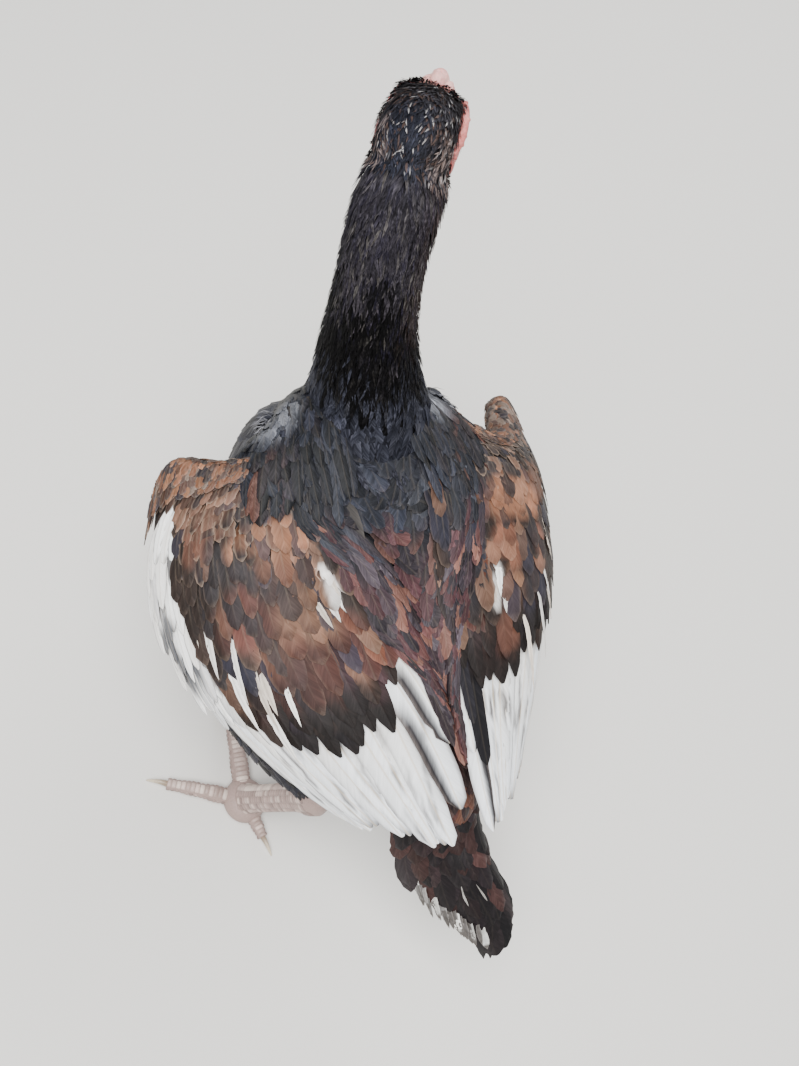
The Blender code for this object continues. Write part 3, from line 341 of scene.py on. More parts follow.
def curve(rows, t):
    """Points of the smooth curve through rows at each value of t, an array from 0 to 1."""
    rows = np.asarray(rows, float)
    t = np.asarray(t, float)
    last = len(rows) - 1
    padded = np.concatenate([2 * rows[:1] - rows[1:2], rows, 2 * rows[-1:] - rows[-2:-1]])
    place = np.clip(t, 0.0, 1.0) * last
    index = np.minimum(place.astype(int), last - 1)
    s = (place - index).reshape(t.shape + (1,) * (rows.ndim - 1))
    a, b, c, d = padded[index], padded[index + 1], padded[index + 2], padded[index + 3]
    return 0.5 * (2 * b + (c - a) * s + (2 * a - 5 * b + 4 * c - d) * s**2 + (3 * b - a - 3 * c + d) * s**3)


def along_profile(profile, t):
    """Straight-line reading of a profile of (share, value) pairs."""
    places, values = zip(*profile)
    return np.interp(t, places, values)


def head_axes():
    """The head's forward, left and up directions."""
    forward = np.array((
        -math.sin(HEAD_TURN) * math.cos(HEAD_DIP),
        -math.cos(HEAD_TURN) * math.cos(HEAD_DIP),
        -math.sin(HEAD_DIP),
    ))
    level = np.array((math.cos(HEAD_TURN), -math.sin(HEAD_TURN), 0.0))
    rise = np.cross(forward, level)
    left = level * math.cos(HEAD_TILT) + rise * math.sin(HEAD_TILT)
    up = rise * math.cos(HEAD_TILT) - level * math.sin(HEAD_TILT)
    return forward, left, up


def on_head(forward, left, up):
    """Places given along the head's own directions from the middle between the eyes."""
    axes = head_axes()
    return (
        np.asarray(HEAD_CENTRE)
        + np.multiply.outer(np.asarray(forward, float), axes[0])
        + np.multiply.outer(np.asarray(left, float), axes[1])
        + np.multiply.outer(np.asarray(up, float), axes[2])
    )


def head_local(points):
    """Places as distances forward, left and up of the middle between the eyes."""
    return (points - np.asarray(HEAD_CENTRE)) @ np.stack(head_axes(), axis=1)


def solids_shift():
    """How far the solids were moved from the values above, read from the left eye."""
    low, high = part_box("eye_left")
    return (np.asarray(low) + np.asarray(high)) / 2 - on_head(*EYE_PLACE)


SHIFT = solids_shift()


class Sheet:
    """A curved surface read by shares along and across, with heights over it."""

    def __init__(self, table):
        self.table = table
        self.rows, self.columns = table.shape[:2]
        run = np.gradient(table, axis=0)
        spread = np.gradient(table, axis=1)
        normals = unit(np.cross(run, spread))
        self.normals = np.where(normals[..., 2:3] < 0, -normals, normals)
        steps = np.linalg.norm(np.diff(table, axis=1), axis=2).sum(axis=1)
        self.widths = steps

    def read(self, grid, along, across):
        a = np.clip(along, 0.0, 1.0) * (self.rows - 1)
        c = np.clip(across, 0.0, 1.0) * (self.columns - 1)
        i = np.minimum(a.astype(int), self.rows - 2)
        j = np.minimum(c.astype(int), self.columns - 2)
        s, t = (a - i)[..., None], (c - j)[..., None]
        low = grid[i, j] * (1 - t) + grid[i, j + 1] * t
        high = grid[i + 1, j] * (1 - t) + grid[i + 1, j + 1] * t
        return low * (1 - s) + high * s

    def width(self, along):
        return np.interp(np.clip(along, 0.0, 1.0), np.linspace(0.0, 1.0, self.rows), self.widths)

    def at(self, along, across, height):
        """Places at a height over the surface, carried on straight past its edges."""
        along, across, height = np.broadcast_arrays(along, across, height)
        place = self.read(self.table, along, across)
        step = 0.04
        over = across - np.clip(across, 0.0, 1.0)
        inner = np.clip(across, step, 1.0 - step)
        after, before = (self.read(self.table, along, inner + change) for change in (step, -step))
        slope = (after - before) / (2 * step)
        place = place + slope * (over * 0.92)[..., None]
        past = along - np.clip(along, 0.0, 1.0)
        inside = np.clip(along, step, 1.0 - step)
        after, before = (self.read(self.table, inside + change, across) for change in (step, -step))
        run = (after - before) / (2 * step)
        place = place + run * (past * 0.9)[..., None]
        return place + self.read(self.normals, along, across) * height[..., None]


def wing_sheet(side, rows=161, columns=81):
    along = np.linspace(0.0, 1.0, rows)
    across = np.linspace(0.0, 1.0, columns)
    lines = np.stack([curve(row, across) for row in WING_ROWS])
    table = curve(lines, along)
    run, share = along[:, None], across[None, :]
    x, y, z = table[..., 0].copy(), table[..., 1].copy(), table[..., 2]
    x -= WING_TUCK[side] * share * np.sin(np.pi * run * TUCK_RUN) ** 2
    x += WRIST_REACH[side] * share * (1.0 - run) ** 4
    y += LEAD_NOTCH[side] * np.exp(-(((share - NOTCH_PLACE) / NOTCH_WIDTH) ** 2) - run / NOTCH_FADE)
    x = side * x + REAR_SWING * run**2
    return Sheet(np.stack(np.broadcast_arrays(x, y, z), axis=-1))


def back_sheet(rows=121, columns=61):
    """The plumage over the back, from the left wing's inner edge across to the right wing's."""
    along = np.linspace(0.0, 0.84, rows)
    left, right = wing_sheet(1), wing_sheet(-1)
    flat = np.zeros(rows)
    top = 0.0062 - 0.0034 * ramp(along, 0.45, 0.80)
    lines = []
    for sheet, edge in ((left, LEFT_BACK_EDGE), (right, RIGHT_BACK_EDGE)):
        outer = along_profile(edge, along)
        lines.append(sheet.at(along, outer, top))
        lines.append(sheet.at(along, outer - 0.14 + 0.10 * ramp(along, 0.48, 0.70), top))
    later = along + 0.12 * (1.0 - along / 0.84)
    middle = (left.at(later, flat - 0.02, flat + 0.006) + right.at(later, flat - 0.02, flat + 0.006)) / 2
    middle[:, 2] += BACK_RISE * np.interp(along, (0.0, 0.3, 0.6, 0.84), (0.5, 1.0, 0.7, 1.6))
    table = np.stack([lines[0], lines[1], middle, lines[3], lines[2]], axis=0)
    table = curve(table, np.linspace(0.0, 1.0, columns))
    return Sheet(np.swapaxes(table, 0, 1))


def tail_sheet(rows=121, columns=61):
    lines = np.stack([curve(row, np.linspace(0.0, 1.0, columns)) for row in TAIL_ROWS])
    return Sheet(curve(lines, np.linspace(0.0, 1.0, rows)))


def ovals(centres, across, up, half_across, half_up, sides, power):
    """Rings of points on superellipses, one for each centre."""
    angle = np.linspace(0.0, 2 * np.pi, sides, endpoint=False)
    c, s = np.cos(angle), np.sin(angle)
    x = np.copysign(np.abs(c) ** (2 / power), c)
    y = np.copysign(np.abs(s) ** (2 / power), s)
    half_across = np.asarray(half_across)[:, None, None]
    half_up = np.asarray(half_up)[:, None, None]
    return (
        centres[:, None, :]
        + across[:, None, :] * half_across * x[None, :, None]
        + up[:, None, :] * half_up * y[None, :, None]
    )


def loft_faces(count, sides, start=0):
    """Quads between rings and fans over both ends, whose middles follow the rings."""
    faces = []
    for row in range(count - 1):
        for side in range(sides):
            a = start + row * sides + side
            b = start + row * sides + (side + 1) % sides
            faces.append((a, b, b + sides, a + sides))
    for row, middle in ((0, start + count * sides), (count - 1, start + count * sides + 1)):
        for side in range(sides):
            faces.append((start + row * sides + side, start + row * sides + (side + 1) % sides, middle))
    return faces


def loft(rings):
    """Points and faces of a closed form through rings of equal count."""
    count, sides = rings.shape[:2]
    ends = np.stack([rings[0].mean(axis=0), rings[-1].mean(axis=0)])
    return np.concatenate([rings.reshape(-1, 3), ends]), loft_faces(count, sides)


def path_rings(sections, count, sides, across=(1.0, 0.0, 0.0), power=2.0, grow=0.0):
    """Rings square to the path through sections of x, y, z and one or two half sizes."""
    t = np.linspace(0.0, 1.0, count)
    here = curve(sections, t)
    ahead = curve(sections, np.minimum(t + 0.01, 1.0)) - curve(sections, np.maximum(t - 0.01, 0.0))
    along = unit(ahead[:, :3])
    guide = np.asarray(across, float)
    side = unit(guide - along * (along @ guide)[:, None])
    up = np.cross(along, side)
    half_up = here[:, 4] if here.shape[1] > 4 else here[:, 3]
    return ovals(here[:, :3], side, up, here[:, 3] + grow, half_up + grow, sides, power)


def torso_rings(count, sides):
    here = curve(TORSO_SECTIONS, np.linspace(0.0, 1.0, count))
    zero = np.zeros(count)
    back = np.stack([zero, here[:, 0], here[:, 1]], axis=1)
    belly = np.stack([zero, here[:, 2], here[:, 3]], axis=1)
    up = unit(back - belly)
    tall = np.linalg.norm(back - belly, axis=1) / 2
    across = np.tile((1.0, 0.0, 0.0), (count, 1))
    return ovals((back + belly) / 2, across, up, here[:, 4], tall, sides, TORSO_POWER)


def head_rings(sections, count, sides, power=HEAD_POWER, grow=0.0):
    here = curve(sections, np.linspace(0.0, 1.0, count))
    forward, top, bottom, half = here.T
    axes = head_axes()
    centres = on_head(forward, np.zeros(count), (top + bottom) / 2)
    across = np.tile(axes[1], (count, 1))
    up = np.tile(axes[2], (count, 1))
    return ovals(centres, across, up, half + grow, (top - bottom) / 2 + grow, sides, power)


def ball_rings(centre, sizes, axes, rings=24, sides=32):
    angle = np.pi * np.arange(1, rings) / rings
    centres = np.asarray(centre) + np.multiply.outer(np.cos(angle) * sizes[2], axes[2])
    reach = np.sin(angle)
    across = np.tile(axes[0], (rings - 1, 1))
    up = np.tile(axes[1], (rings - 1, 1))
    return ovals(centres, across, up, sizes[0] * reach, sizes[1] * reach, sides, 2.0)


def side_ball(side, place, sizes, rings=24, sides=32):
    """A ball on one side of the head, its half sizes given forward, up and out."""
    axes = head_axes()
    forward, left, up = place
    return ball_rings(on_head(forward, side * left, up), sizes, (axes[0], axes[2], axes[1] * side), rings, sides)


class Bag:
    """Grids of points gathered into one mesh, with its maps and its colours."""

    def __init__(self):
        self.points, self.maps, self.tints, self.patches, self.quads = [], [], [], [], []
        self.count = 0

    def add(self, points, local, tint, patch):
        """Takes n grids: points (n, r, c, 3), places on the feather (n, r, c, 2), colours, map patches."""
        n, r, c = points.shape[:3]
        index = np.arange(n * r * c).reshape(n, r, c) + self.count
        quads = np.stack([index[:, :-1, :-1], index[:, :-1, 1:], index[:, 1:, 1:], index[:, 1:, :-1]], axis=-1)
        self.points.append(points.reshape(-1, 3))
        self.maps.append(local.reshape(-1, 2))
        self.tints.append(np.broadcast_to(tint, (n, r, c, 4)).reshape(-1, 4))
        self.patches.append(patch.reshape(-1, 2))
        self.quads.append(quads.reshape(-1, 4))
        self.count += n * r * c

    def add_closed(self, rings, tint, patch_low, patch_size):
        """Takes one closed form given by rings of points."""
        count, sides = rings.shape[:2]
        points, faces = loft(rings)
        u = np.tile(np.linspace(0.0, 1.0, sides), count)
        v = np.repeat(np.linspace(0.0, 1.0, count), sides)
        local = np.stack([u, v], axis=1)
        local = np.concatenate([local, [[0.5, 0.0], [0.5, 1.0]]])
        quads = np.array([face if len(face) == 4 else (*face, face[2]) for face in faces])
        self.points.append(points)
        self.maps.append(local * 0.1)
        self.tints.append(np.broadcast_to(tint, (len(points), 4)))
        self.patches.append(np.asarray(patch_low) + local * patch_size)
        self.quads.append(quads + self.count)
        self.count += len(points)

    def build(self, name, material, flip=False):
        points = np.concatenate(self.points) + SHIFT
        quads = np.concatenate(self.quads)
        if flip:
            quads = quads[:, ::-1]
        return mesh_piece(
            name, points, quads, material,
            np.concatenate(self.patches), np.concatenate(self.maps), np.concatenate(self.tints),
        )


def mesh_piece(name, points, quads, material, patches=None, maps=None, tints=None):
    """A smooth mesh of quads, in which a quad with its last corner twice is a triangle."""
    lone = quads[:, 3] == quads[:, 2]
    corners = np.where(lone, 3, 4)
    starts = np.concatenate([[0], np.cumsum(corners)[:-1]])
    keep = np.ones(quads.shape, bool)
    keep[lone, 3] = False
    loops = quads[keep]
    mesh = bpy.data.meshes.new(name)
    mesh.vertices.add(len(points))
    mesh.vertices.foreach_set("co", np.asarray(points, np.float32).ravel())
    mesh.loops.add(len(loops))
    mesh.loops.foreach_set("vertex_index", loops.astype(np.int32))
    mesh.polygons.add(len(quads))
    mesh.polygons.foreach_set("loop_start", starts.astype(np.int32))
    mesh.update(calc_edges=True)
    mesh.validate()
    for label, values in (("OFBake", patches), ("Feather", maps)):
        if values is not None:
            layer = mesh.uv_layers.new(name=label)
            layer.data.foreach_set("uv", np.asarray(values, np.float32)[loops].ravel())
    if tints is not None:
        colours = mesh.color_attributes.new("Tint", "FLOAT_COLOR", "POINT")
        colours.data.foreach_set("color", np.asarray(tints, np.float32).ravel())
    mesh.shade_smooth()
    mesh.materials.append(material)
    piece = bpy.data.objects.new(name, mesh)
    bpy.context.scene.collection.objects.link(piece)
    return piece


def place_piece(piece, slot, *nodes):
    """Sets a finished piece on the bird's body and hides the solids it stands for."""
    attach(piece, "root")
    if nodes:
        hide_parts(*nodes)
    return piece


def form_mesh(name, forms):
    """One mesh object of several closed forms."""
    points, faces, start = [], [], 0
    for form_points, form_faces in forms:
        points.append(form_points)
        faces += [tuple(corner + start for corner in face) for face in form_faces]
        start += len(form_points)
    mesh = bpy.data.meshes.new(name)
    mesh.from_pydata(np.concatenate(points).tolist(), [], faces)
    form = bmesh.new()
    form.from_mesh(mesh)
    bmesh.ops.recalc_face_normals(form, faces=form.faces)
    form.to_mesh(mesh)
    form.free()
    piece = bpy.data.objects.new(name, mesh)
    bpy.context.scene.collection.objects.link(piece)
    return piece


def plain_mesh(piece):
    """The piece's mesh with its modifiers applied; the piece itself is removed."""
    graph = bpy.context.evaluated_depsgraph_get()
    mesh = bpy.data.meshes.new_from_object(piece.evaluated_get(graph))
    old = piece.data
    bpy.data.objects.remove(piece, do_unlink=True)
    bpy.data.meshes.remove(old)
    return mesh


def mesh_points(mesh):
    points = np.empty(len(mesh.vertices) * 3, np.float32)
    mesh.vertices.foreach_get("co", points)
    return points.reshape(-1, 3).astype(float)


def mesh_normals(mesh):
    normals = np.empty(len(mesh.vertices) * 3, np.float32)
    mesh.vertices.foreach_get("normal", normals)
    return normals.reshape(-1, 3).astype(float)


def outer_mesh():
    """The outside of the plumage on torso, neck, head and thighs, as one smooth form."""
    forms = [
        loft(torso_rings(41, 64)),
        loft(path_rings(NECK_SECTIONS, 41, 56)),
        loft(head_rings(HEAD_SECTIONS, 41, 56)),
    ]
    for centre, size in SHOULDERS:
        forms.append(loft(ball_rings(centre, size, np.eye(3))))
    for side in (1, -1):
        rows = [(*on_head(f, side * l, u), BROW_RADIUS * 0.8) for f, l, u in BROW]
        forms.append(loft(path_rings(rows, 20, 20, head_axes()[2])))
        forms.append(loft(path_rings(LEGS[side]["thigh"], 33, 44)))
    whole = form_mesh("whole", forms)
    remesh = whole.modifiers.new("remesh", "REMESH")
    remesh.mode = "VOXEL"
    remesh.voxel_size = settings().skin_voxel
    smooth = whole.modifiers.new("smooth", "SMOOTH")
    smooth.factor = 0.5
    smooth.iterations = 5
    return plain_mesh(whole)


class Outside:
    """The outer form of the plumage, for laying feathers on it."""

    def __init__(self):
        self.mesh = outer_mesh()
        self.points = mesh_points(self.mesh)
        self.normals = mesh_normals(self.mesh)
        faces = [tuple(face.vertices) for face in self.mesh.polygons]
        self.tree = BVHTree.FromPolygons([tuple(point) for point in self.points], faces)
        self.corners = KDTree(len(self.points))
        for index, point in enumerate(self.points):
            self.corners.insert(point, index)
        self.corners.balance()

    def nearest(self, points):
        """Nearest places on the form and the smooth normals there."""
        flat = points.reshape(-1, 3)
        places = np.empty_like(flat)
        indices = np.empty(len(flat), int)
        for row, point in enumerate(flat):
            places[row] = self.tree.find_nearest(point)[0]
            indices[row] = self.corners.find(places[row])[1]
        return places.reshape(points.shape), self.normals[indices].reshape(points.shape)


OUTSIDE = []


def outside():
    if not OUTSIDE:
        OUTSIDE.append(Outside())
    return OUTSIDE[0]


def path_nearest(rows, points):
    """Distance to a bent line, and the share of its length there."""
    rows = np.asarray(rows, float)
    best = np.full(len(points), 9.0)
    share = np.zeros(len(points))
    for index in range(len(rows) - 1):
        a, b = rows[index], rows[index + 1]
        line = b - a
        t = np.clip((points - a) @ line / (line @ line), 0.0, 1.0)
        gap = np.linalg.norm(points - (a + t[:, None] * line), axis=1)
        near = gap < best
        best = np.where(near, gap, best)
        share = np.where(near, (index + t) / (len(rows) - 1), share)
    return best, share


def region_shares(points):
    """How far each place belongs to head, neck, torso and the two thighs, from 0 to 1."""
    local = head_local(points)
    along = local @ np.array((NAPE_TILT[0], 0.0, NAPE_TILT[1]))
    head = ramp(along, NAPE_LEVEL - 0.004, NAPE_LEVEL + 0.002)
    neck = ramp(points[:, 2] + 0.30 * points[:, 1], 0.190, 0.222) * (1.0 - head)
    thighs = []
    for side in (1, -1):
        sections = np.asarray(LEGS[side]["thigh"])
        gap, share = path_nearest(sections[:, :3], points)
        radius = curve(sections, share)[:, 3]
        own = ramp(radius * 1.12 - gap, -0.004, 0.002) * ramp(0.150 - points[:, 2], 0.0, 0.030)
        thighs.append(own * ramp(points[:, 0] * side, 0.012, 0.030))
    torso = 1.0 - np.maximum.reduce([head, neck, thighs[0], thighs[1]])
    return head, neck, torso, thighs[0], thighs[1]


def lie(points, normals):
    """The direction in which feathers lie at places on the outer form."""
    head, neck, torso, left, right = (share[:, None] for share in region_shares(points))
    axes = head_axes()
    local = head_local(points)
    back = -axes[0] * 1.0 - axes[2] * 0.35 + np.outer(np.sign(local[:, 1]) * 0.10, axes[1])
    down = np.array((0.02, 0.32, -0.95))
    upper = ramp(points[:, 2] - 0.165 + 0.38 * points[:, 1], -0.045, 0.015)[:, None]
    rear = np.array((0.0, 0.93, -0.38)) * upper + np.array((0.0, 0.88, -0.32)) * (1.0 - upper)
    breast = ramp(-points[:, 1], 0.085, 0.125)[:, None]
    rear = rear * (1.0 - breast) + np.array((0.0, 0.25, -0.95)) * breast
    flow = head * back + neck * down + torso * rear
    for side, share in ((1, left), (-1, right)):
        rows = np.asarray(LEGS[side]["thigh"])[:, :3]
        flow = flow + share * unit(rows[0] - rows[4])
    flow = flow - normals * np.sum(flow * normals, axis=1)[:, None]
    return unit(flow)


def bare_share(local):
    """1 on the bare skin of the face and throat, 0 under feathers, in the head's own directions."""
    forward, left, up = local[:, 0], np.abs(local[:, 1]), local[:, 2]
    face = 1.0 - ramp(np.hypot((forward - 0.0070) / 0.0145, (up + 0.0015) / 0.0112), 0.90, 1.06)
    face = face * ramp(left, 0.0035, 0.0060)
    cheek = 1.0 - ramp(np.hypot((forward + 0.0035) / 0.0110, (up + 0.0115) / 0.0070), 0.90, 1.08)
    cheek = cheek * ramp(left, 0.0060, 0.0085)
    ear = 1.0 - ramp(np.hypot((forward - EAR_PLACE[0]) / 0.0052, (up - EAR_PLACE[2]) / 0.0048), 0.85, 1.1)
    ear = ear * ramp(left, 0.0085, 0.0105)
    front = ramp(forward, 0.0135, 0.0165)
    throat = ramp(-up, 0.0130, 0.0175) * ramp(forward, -0.0060, 0.0010) * ramp(0.0110 - left, 0.0, 0.002)
    return np.clip(np.maximum.reduce([face, cheek, ear, front, throat]), 0.0, 1.0)


def coat_depth(points):
    """Depth of the skin below the outside of the plumage."""
    head, neck, torso, left, right = region_shares(points)
    shank = np.ones(len(points))
    for side in (1, -1):
        hock = np.asarray(LEGS[side]["hock"])
        shank = np.minimum(shank, 0.25 + 0.75 * ramp(np.linalg.norm(points - hock, axis=1), 0.008, 0.030))
    body = 0.0046 * shank
    depth = head * 0.0010 + neck * 0.0034 + (torso + left + right) * body
    local = head_local(points)
    socket = np.hypot(local[:, 0] - EYE_PLACE[0] - 0.0012, local[:, 2] - EYE_PLACE[2])
    socket = 0.0014 * (1.0 - ramp(socket, 0.0026, 0.0042)) * ramp(np.abs(local[:, 1]), 0.008, 0.010)
    return depth * (1.0 - head * bare_share(local)) + socket


def noise(points, size, seed=0):
    """Smooth noise from -1 to 1, its features about as large as size."""
    rng = np.random.default_rng(seed)
    total = np.zeros(points.shape[:-1])
    for _ in range(7):
        wave = unit(rng.normal(size=3)) * rng.uniform(0.7, 1.5) * 2 * np.pi / (size * 1.6)
        total += np.sin(points @ wave + rng.uniform(0, 2 * np.pi))
    return total / 3.2


def scatter(points, normals, spacing, seed, keep=None):
    """Random places on the form at least spacing apart, where spacing is given for each place."""
    rng = dice(seed)
    order = rng.permutation(len(points))
    cells = {}
    size = float(np.max(spacing))
    chosen = []
    for index in order:
        if keep is not None and not keep[index]:
            continue
        place = points[index]
        room = spacing[index]
        key = (int(place[0] // size), int(place[1] // size), int(place[2] // size))
        clear = True
        for dx in (-1, 0, 1):
            for dy in (-1, 0, 1):
                for dz in (-1, 0, 1):
                    for other in cells.get((key[0] + dx, key[1] + dy, key[2] + dz), ()):
                        gap = points[other] - place
                        if gap[0] * gap[0] + gap[1] * gap[1] + gap[2] * gap[2] < room * room:
                            clear = False
                            break
                    if not clear:
                        break
                if not clear:
                    break
            if not clear:
                break
        if clear:
            cells.setdefault(key, []).append(index)
            chosen.append(index)
    return np.array(chosen)


def surface_samples(count, seed, keep=None):
    """Random places on the outer form, even over its area, with normals."""
    form = outside()
    form.mesh.calc_loop_triangles()
    triangles = np.empty(len(form.mesh.loop_triangles) * 3, np.int32)
    form.mesh.loop_triangles.foreach_get("vertices", triangles)
    triangles = triangles.reshape(-1, 3)
    a, b, c = (form.points[triangles[:, k]] for k in range(3))
    if keep is not None:
        wanted = keep((a + b + c) / 3)
        triangles, a, b, c = triangles[wanted], a[wanted], b[wanted], c[wanted]
    area = np.linalg.norm(np.cross(b - a, c - a), axis=1)
    rng = dice(seed)
    pick = rng.choice(len(triangles), size=count, p=area / area.sum())
    u, v = rng.random((2, count))
    turn = u + v > 1
    u, v = np.where(turn, 1 - u, u)[:, None], np.where(turn, 1 - v, v)[:, None]
    points = a[pick] * (1 - u - v) + b[pick] * u + c[pick] * v
    normals = [form.normals[triangles[pick, k]] for k in range(3)]
    return points, unit(normals[0] * (1 - u - v) + normals[1] * u + normals[2] * v)


def skin_patch(points):
    """Places of skin points on the unwrap of the skin, region by region."""
    head, neck, torso, left, right = region_shares(points)
    which = np.argmax(np.stack([torso, neck, head, left, right]), axis=0)
    local = head_local(points)
    turns = [
        np.arctan2(points[:, 0], points[:, 2] - 0.165 + 0.38 * points[:, 1]),
        np.arctan2(points[:, 0], points[:, 1] + 0.110),
        np.arctan2(local[:, 1], local[:, 2] + 0.003),
        np.arctan2(points[:, 0] - 0.055, points[:, 1] + 0.005),
        np.arctan2(points[:, 0] + 0.054, points[:, 1] + 0.045),
    ]
    runs = [
        (points[:, 1] + 0.150) / 0.250,
        (points[:, 2] - 0.190) / 0.190,
        (local[:, 0] + 0.034) / 0.055,
        (points[:, 2] - 0.085) / 0.080,
        (points[:, 2] - 0.085) / 0.090,
    ]
    places = np.zeros((len(points), 2))
    for index, patch in enumerate(SKIN_PATCHES.values()):
        own = which == index
        places[own, 0] = patch[0] + patch[2] * (turns[index][own] / (2 * np.pi) + 0.5)
        places[own, 1] = patch[1] + patch[3] * np.clip(runs[index][own], 0.0, 1.0)
    return places, which


def lay_on_skin(bag, roots, normals, length, half, rise, outline, rows, columns, seed, colour,
                swing=0.10, curl=0.0, camber=0.12, ragged=0.12, follow=0.6):
    """Lays feathers over the outer form from their roots, each following the lie of the coat."""
    form = outside()
    rng = dice(seed)
    n = len(roots)
    length = np.broadcast_to(length, (n,)) * rng.uniform(0.86, 1.12, n)
    half = np.broadcast_to(half, (n,)) * rng.uniform(0.88, 1.10, n)
    along = lie(roots, normals)
    turn = rng.normal(0.0, swing, n)[:, None]
    along = unit(along + np.cross(normals, along) * turn)
    place = roots.copy()
    centres, ups, sides = [], [], []
    shares = np.linspace(0.0, 1.0, rows)
    for row, s in enumerate(shares):
        if row:
            place = place + along * (length * (s - shares[row - 1]))[:, None]
            place, normals = form.nearest(place)
            flow = lie(place, normals)
            flow = unit(flow + np.cross(normals, flow) * turn)
            along = unit(along * (1.0 - follow) + flow * follow)
            along = unit(along - normals * np.sum(along * normals, axis=1)[:, None])
        centres.append(place)
        ups.append(normals)
        sides.append(np.cross(along, normals))
    centres, ups, sides = (np.stack(x, axis=1) for x in (centres, ups, sides))
    q = np.linspace(-1.0, 1.0, columns)
    wide = along_profile(outline, shares)
    torn = 1.0 - ragged * rng.random((n, rows, columns)) * np.abs(q)
    offset = half[:, None, None] * wide[None, :, None] * q * torn
    points = centres[:, :, None, :] + sides[:, :, None, :] * offset[..., None]
    if columns > 3:
        points, up = form.nearest(points)
    else:
        up = np.broadcast_to(ups[:, :, None, :], points.shape)
    early, late = np.clip(shares / 0.35, 0.0, 1.0), np.clip((shares - 0.35) / 0.65, 0.0, 1.0)
    lift = rise[:, 0:1] + (rise[:, 1:2] - rise[:, 0:1]) * early + (rise[:, 2:3] - rise[:, 1:2]) * late
    height = lift[..., None] - camber * half[:, None, None] * q**2
    height = height + rng.normal(0.0, 0.00018, n)[:, None, None] * shares[None, :, None]
    height = height + (curl * rng.uniform(0.3, 1.0, n))[:, None, None] * (shares**2)[None, :, None]
    lean = rng.normal(0.0, 0.05, n)[:, None, None] * offset
    points = points + up * (height + lean * shares[None, :, None])[..., None]
    run = length[:, None] * shares[None, :]
    local = np.stack(np.broadcast_arrays(offset / 0.1 + 0.5, run[..., None] / 0.1), axis=-1)
    spot, _ = skin_patch(roots)
    patch = np.stack(np.broadcast_arrays(q[None, None, :] * 0.5, shares[None, :, None] - 0.5), axis=-1) * PATCH
    patch = spot[:, None, None, :] + patch
    tint = colour(roots, points, shares, q, rng)
    bag.add(points, local, tint, np.broadcast_to(patch, (n, rows, columns, 2)))


def packed_cells(lengths, halves):
    """Cells of a square map for feathers of these sizes: low corners, widths and heights."""
    order = np.argsort(-lengths)
    scale = 0.98 / math.sqrt(float(np.sum(lengths * halves * 2)) * 1.25)
    for _ in range(12):
        x = y = 0.005
        shelf = 0.0
        low = np.zeros((len(lengths), 2))
        for index in order:
            wide, tall = halves[index] * 2 * scale, lengths[index] * scale
            if x + wide > 0.995:
                x, y, shelf = 0.005, y + shelf + 0.002, 0.0
            low[index] = x, y
            x += wide + 0.002
            shelf = max(shelf, tall)
        if y + shelf <= 0.995:
            break
        scale *= 0.96
    return low, halves * 2 * scale, lengths * scale


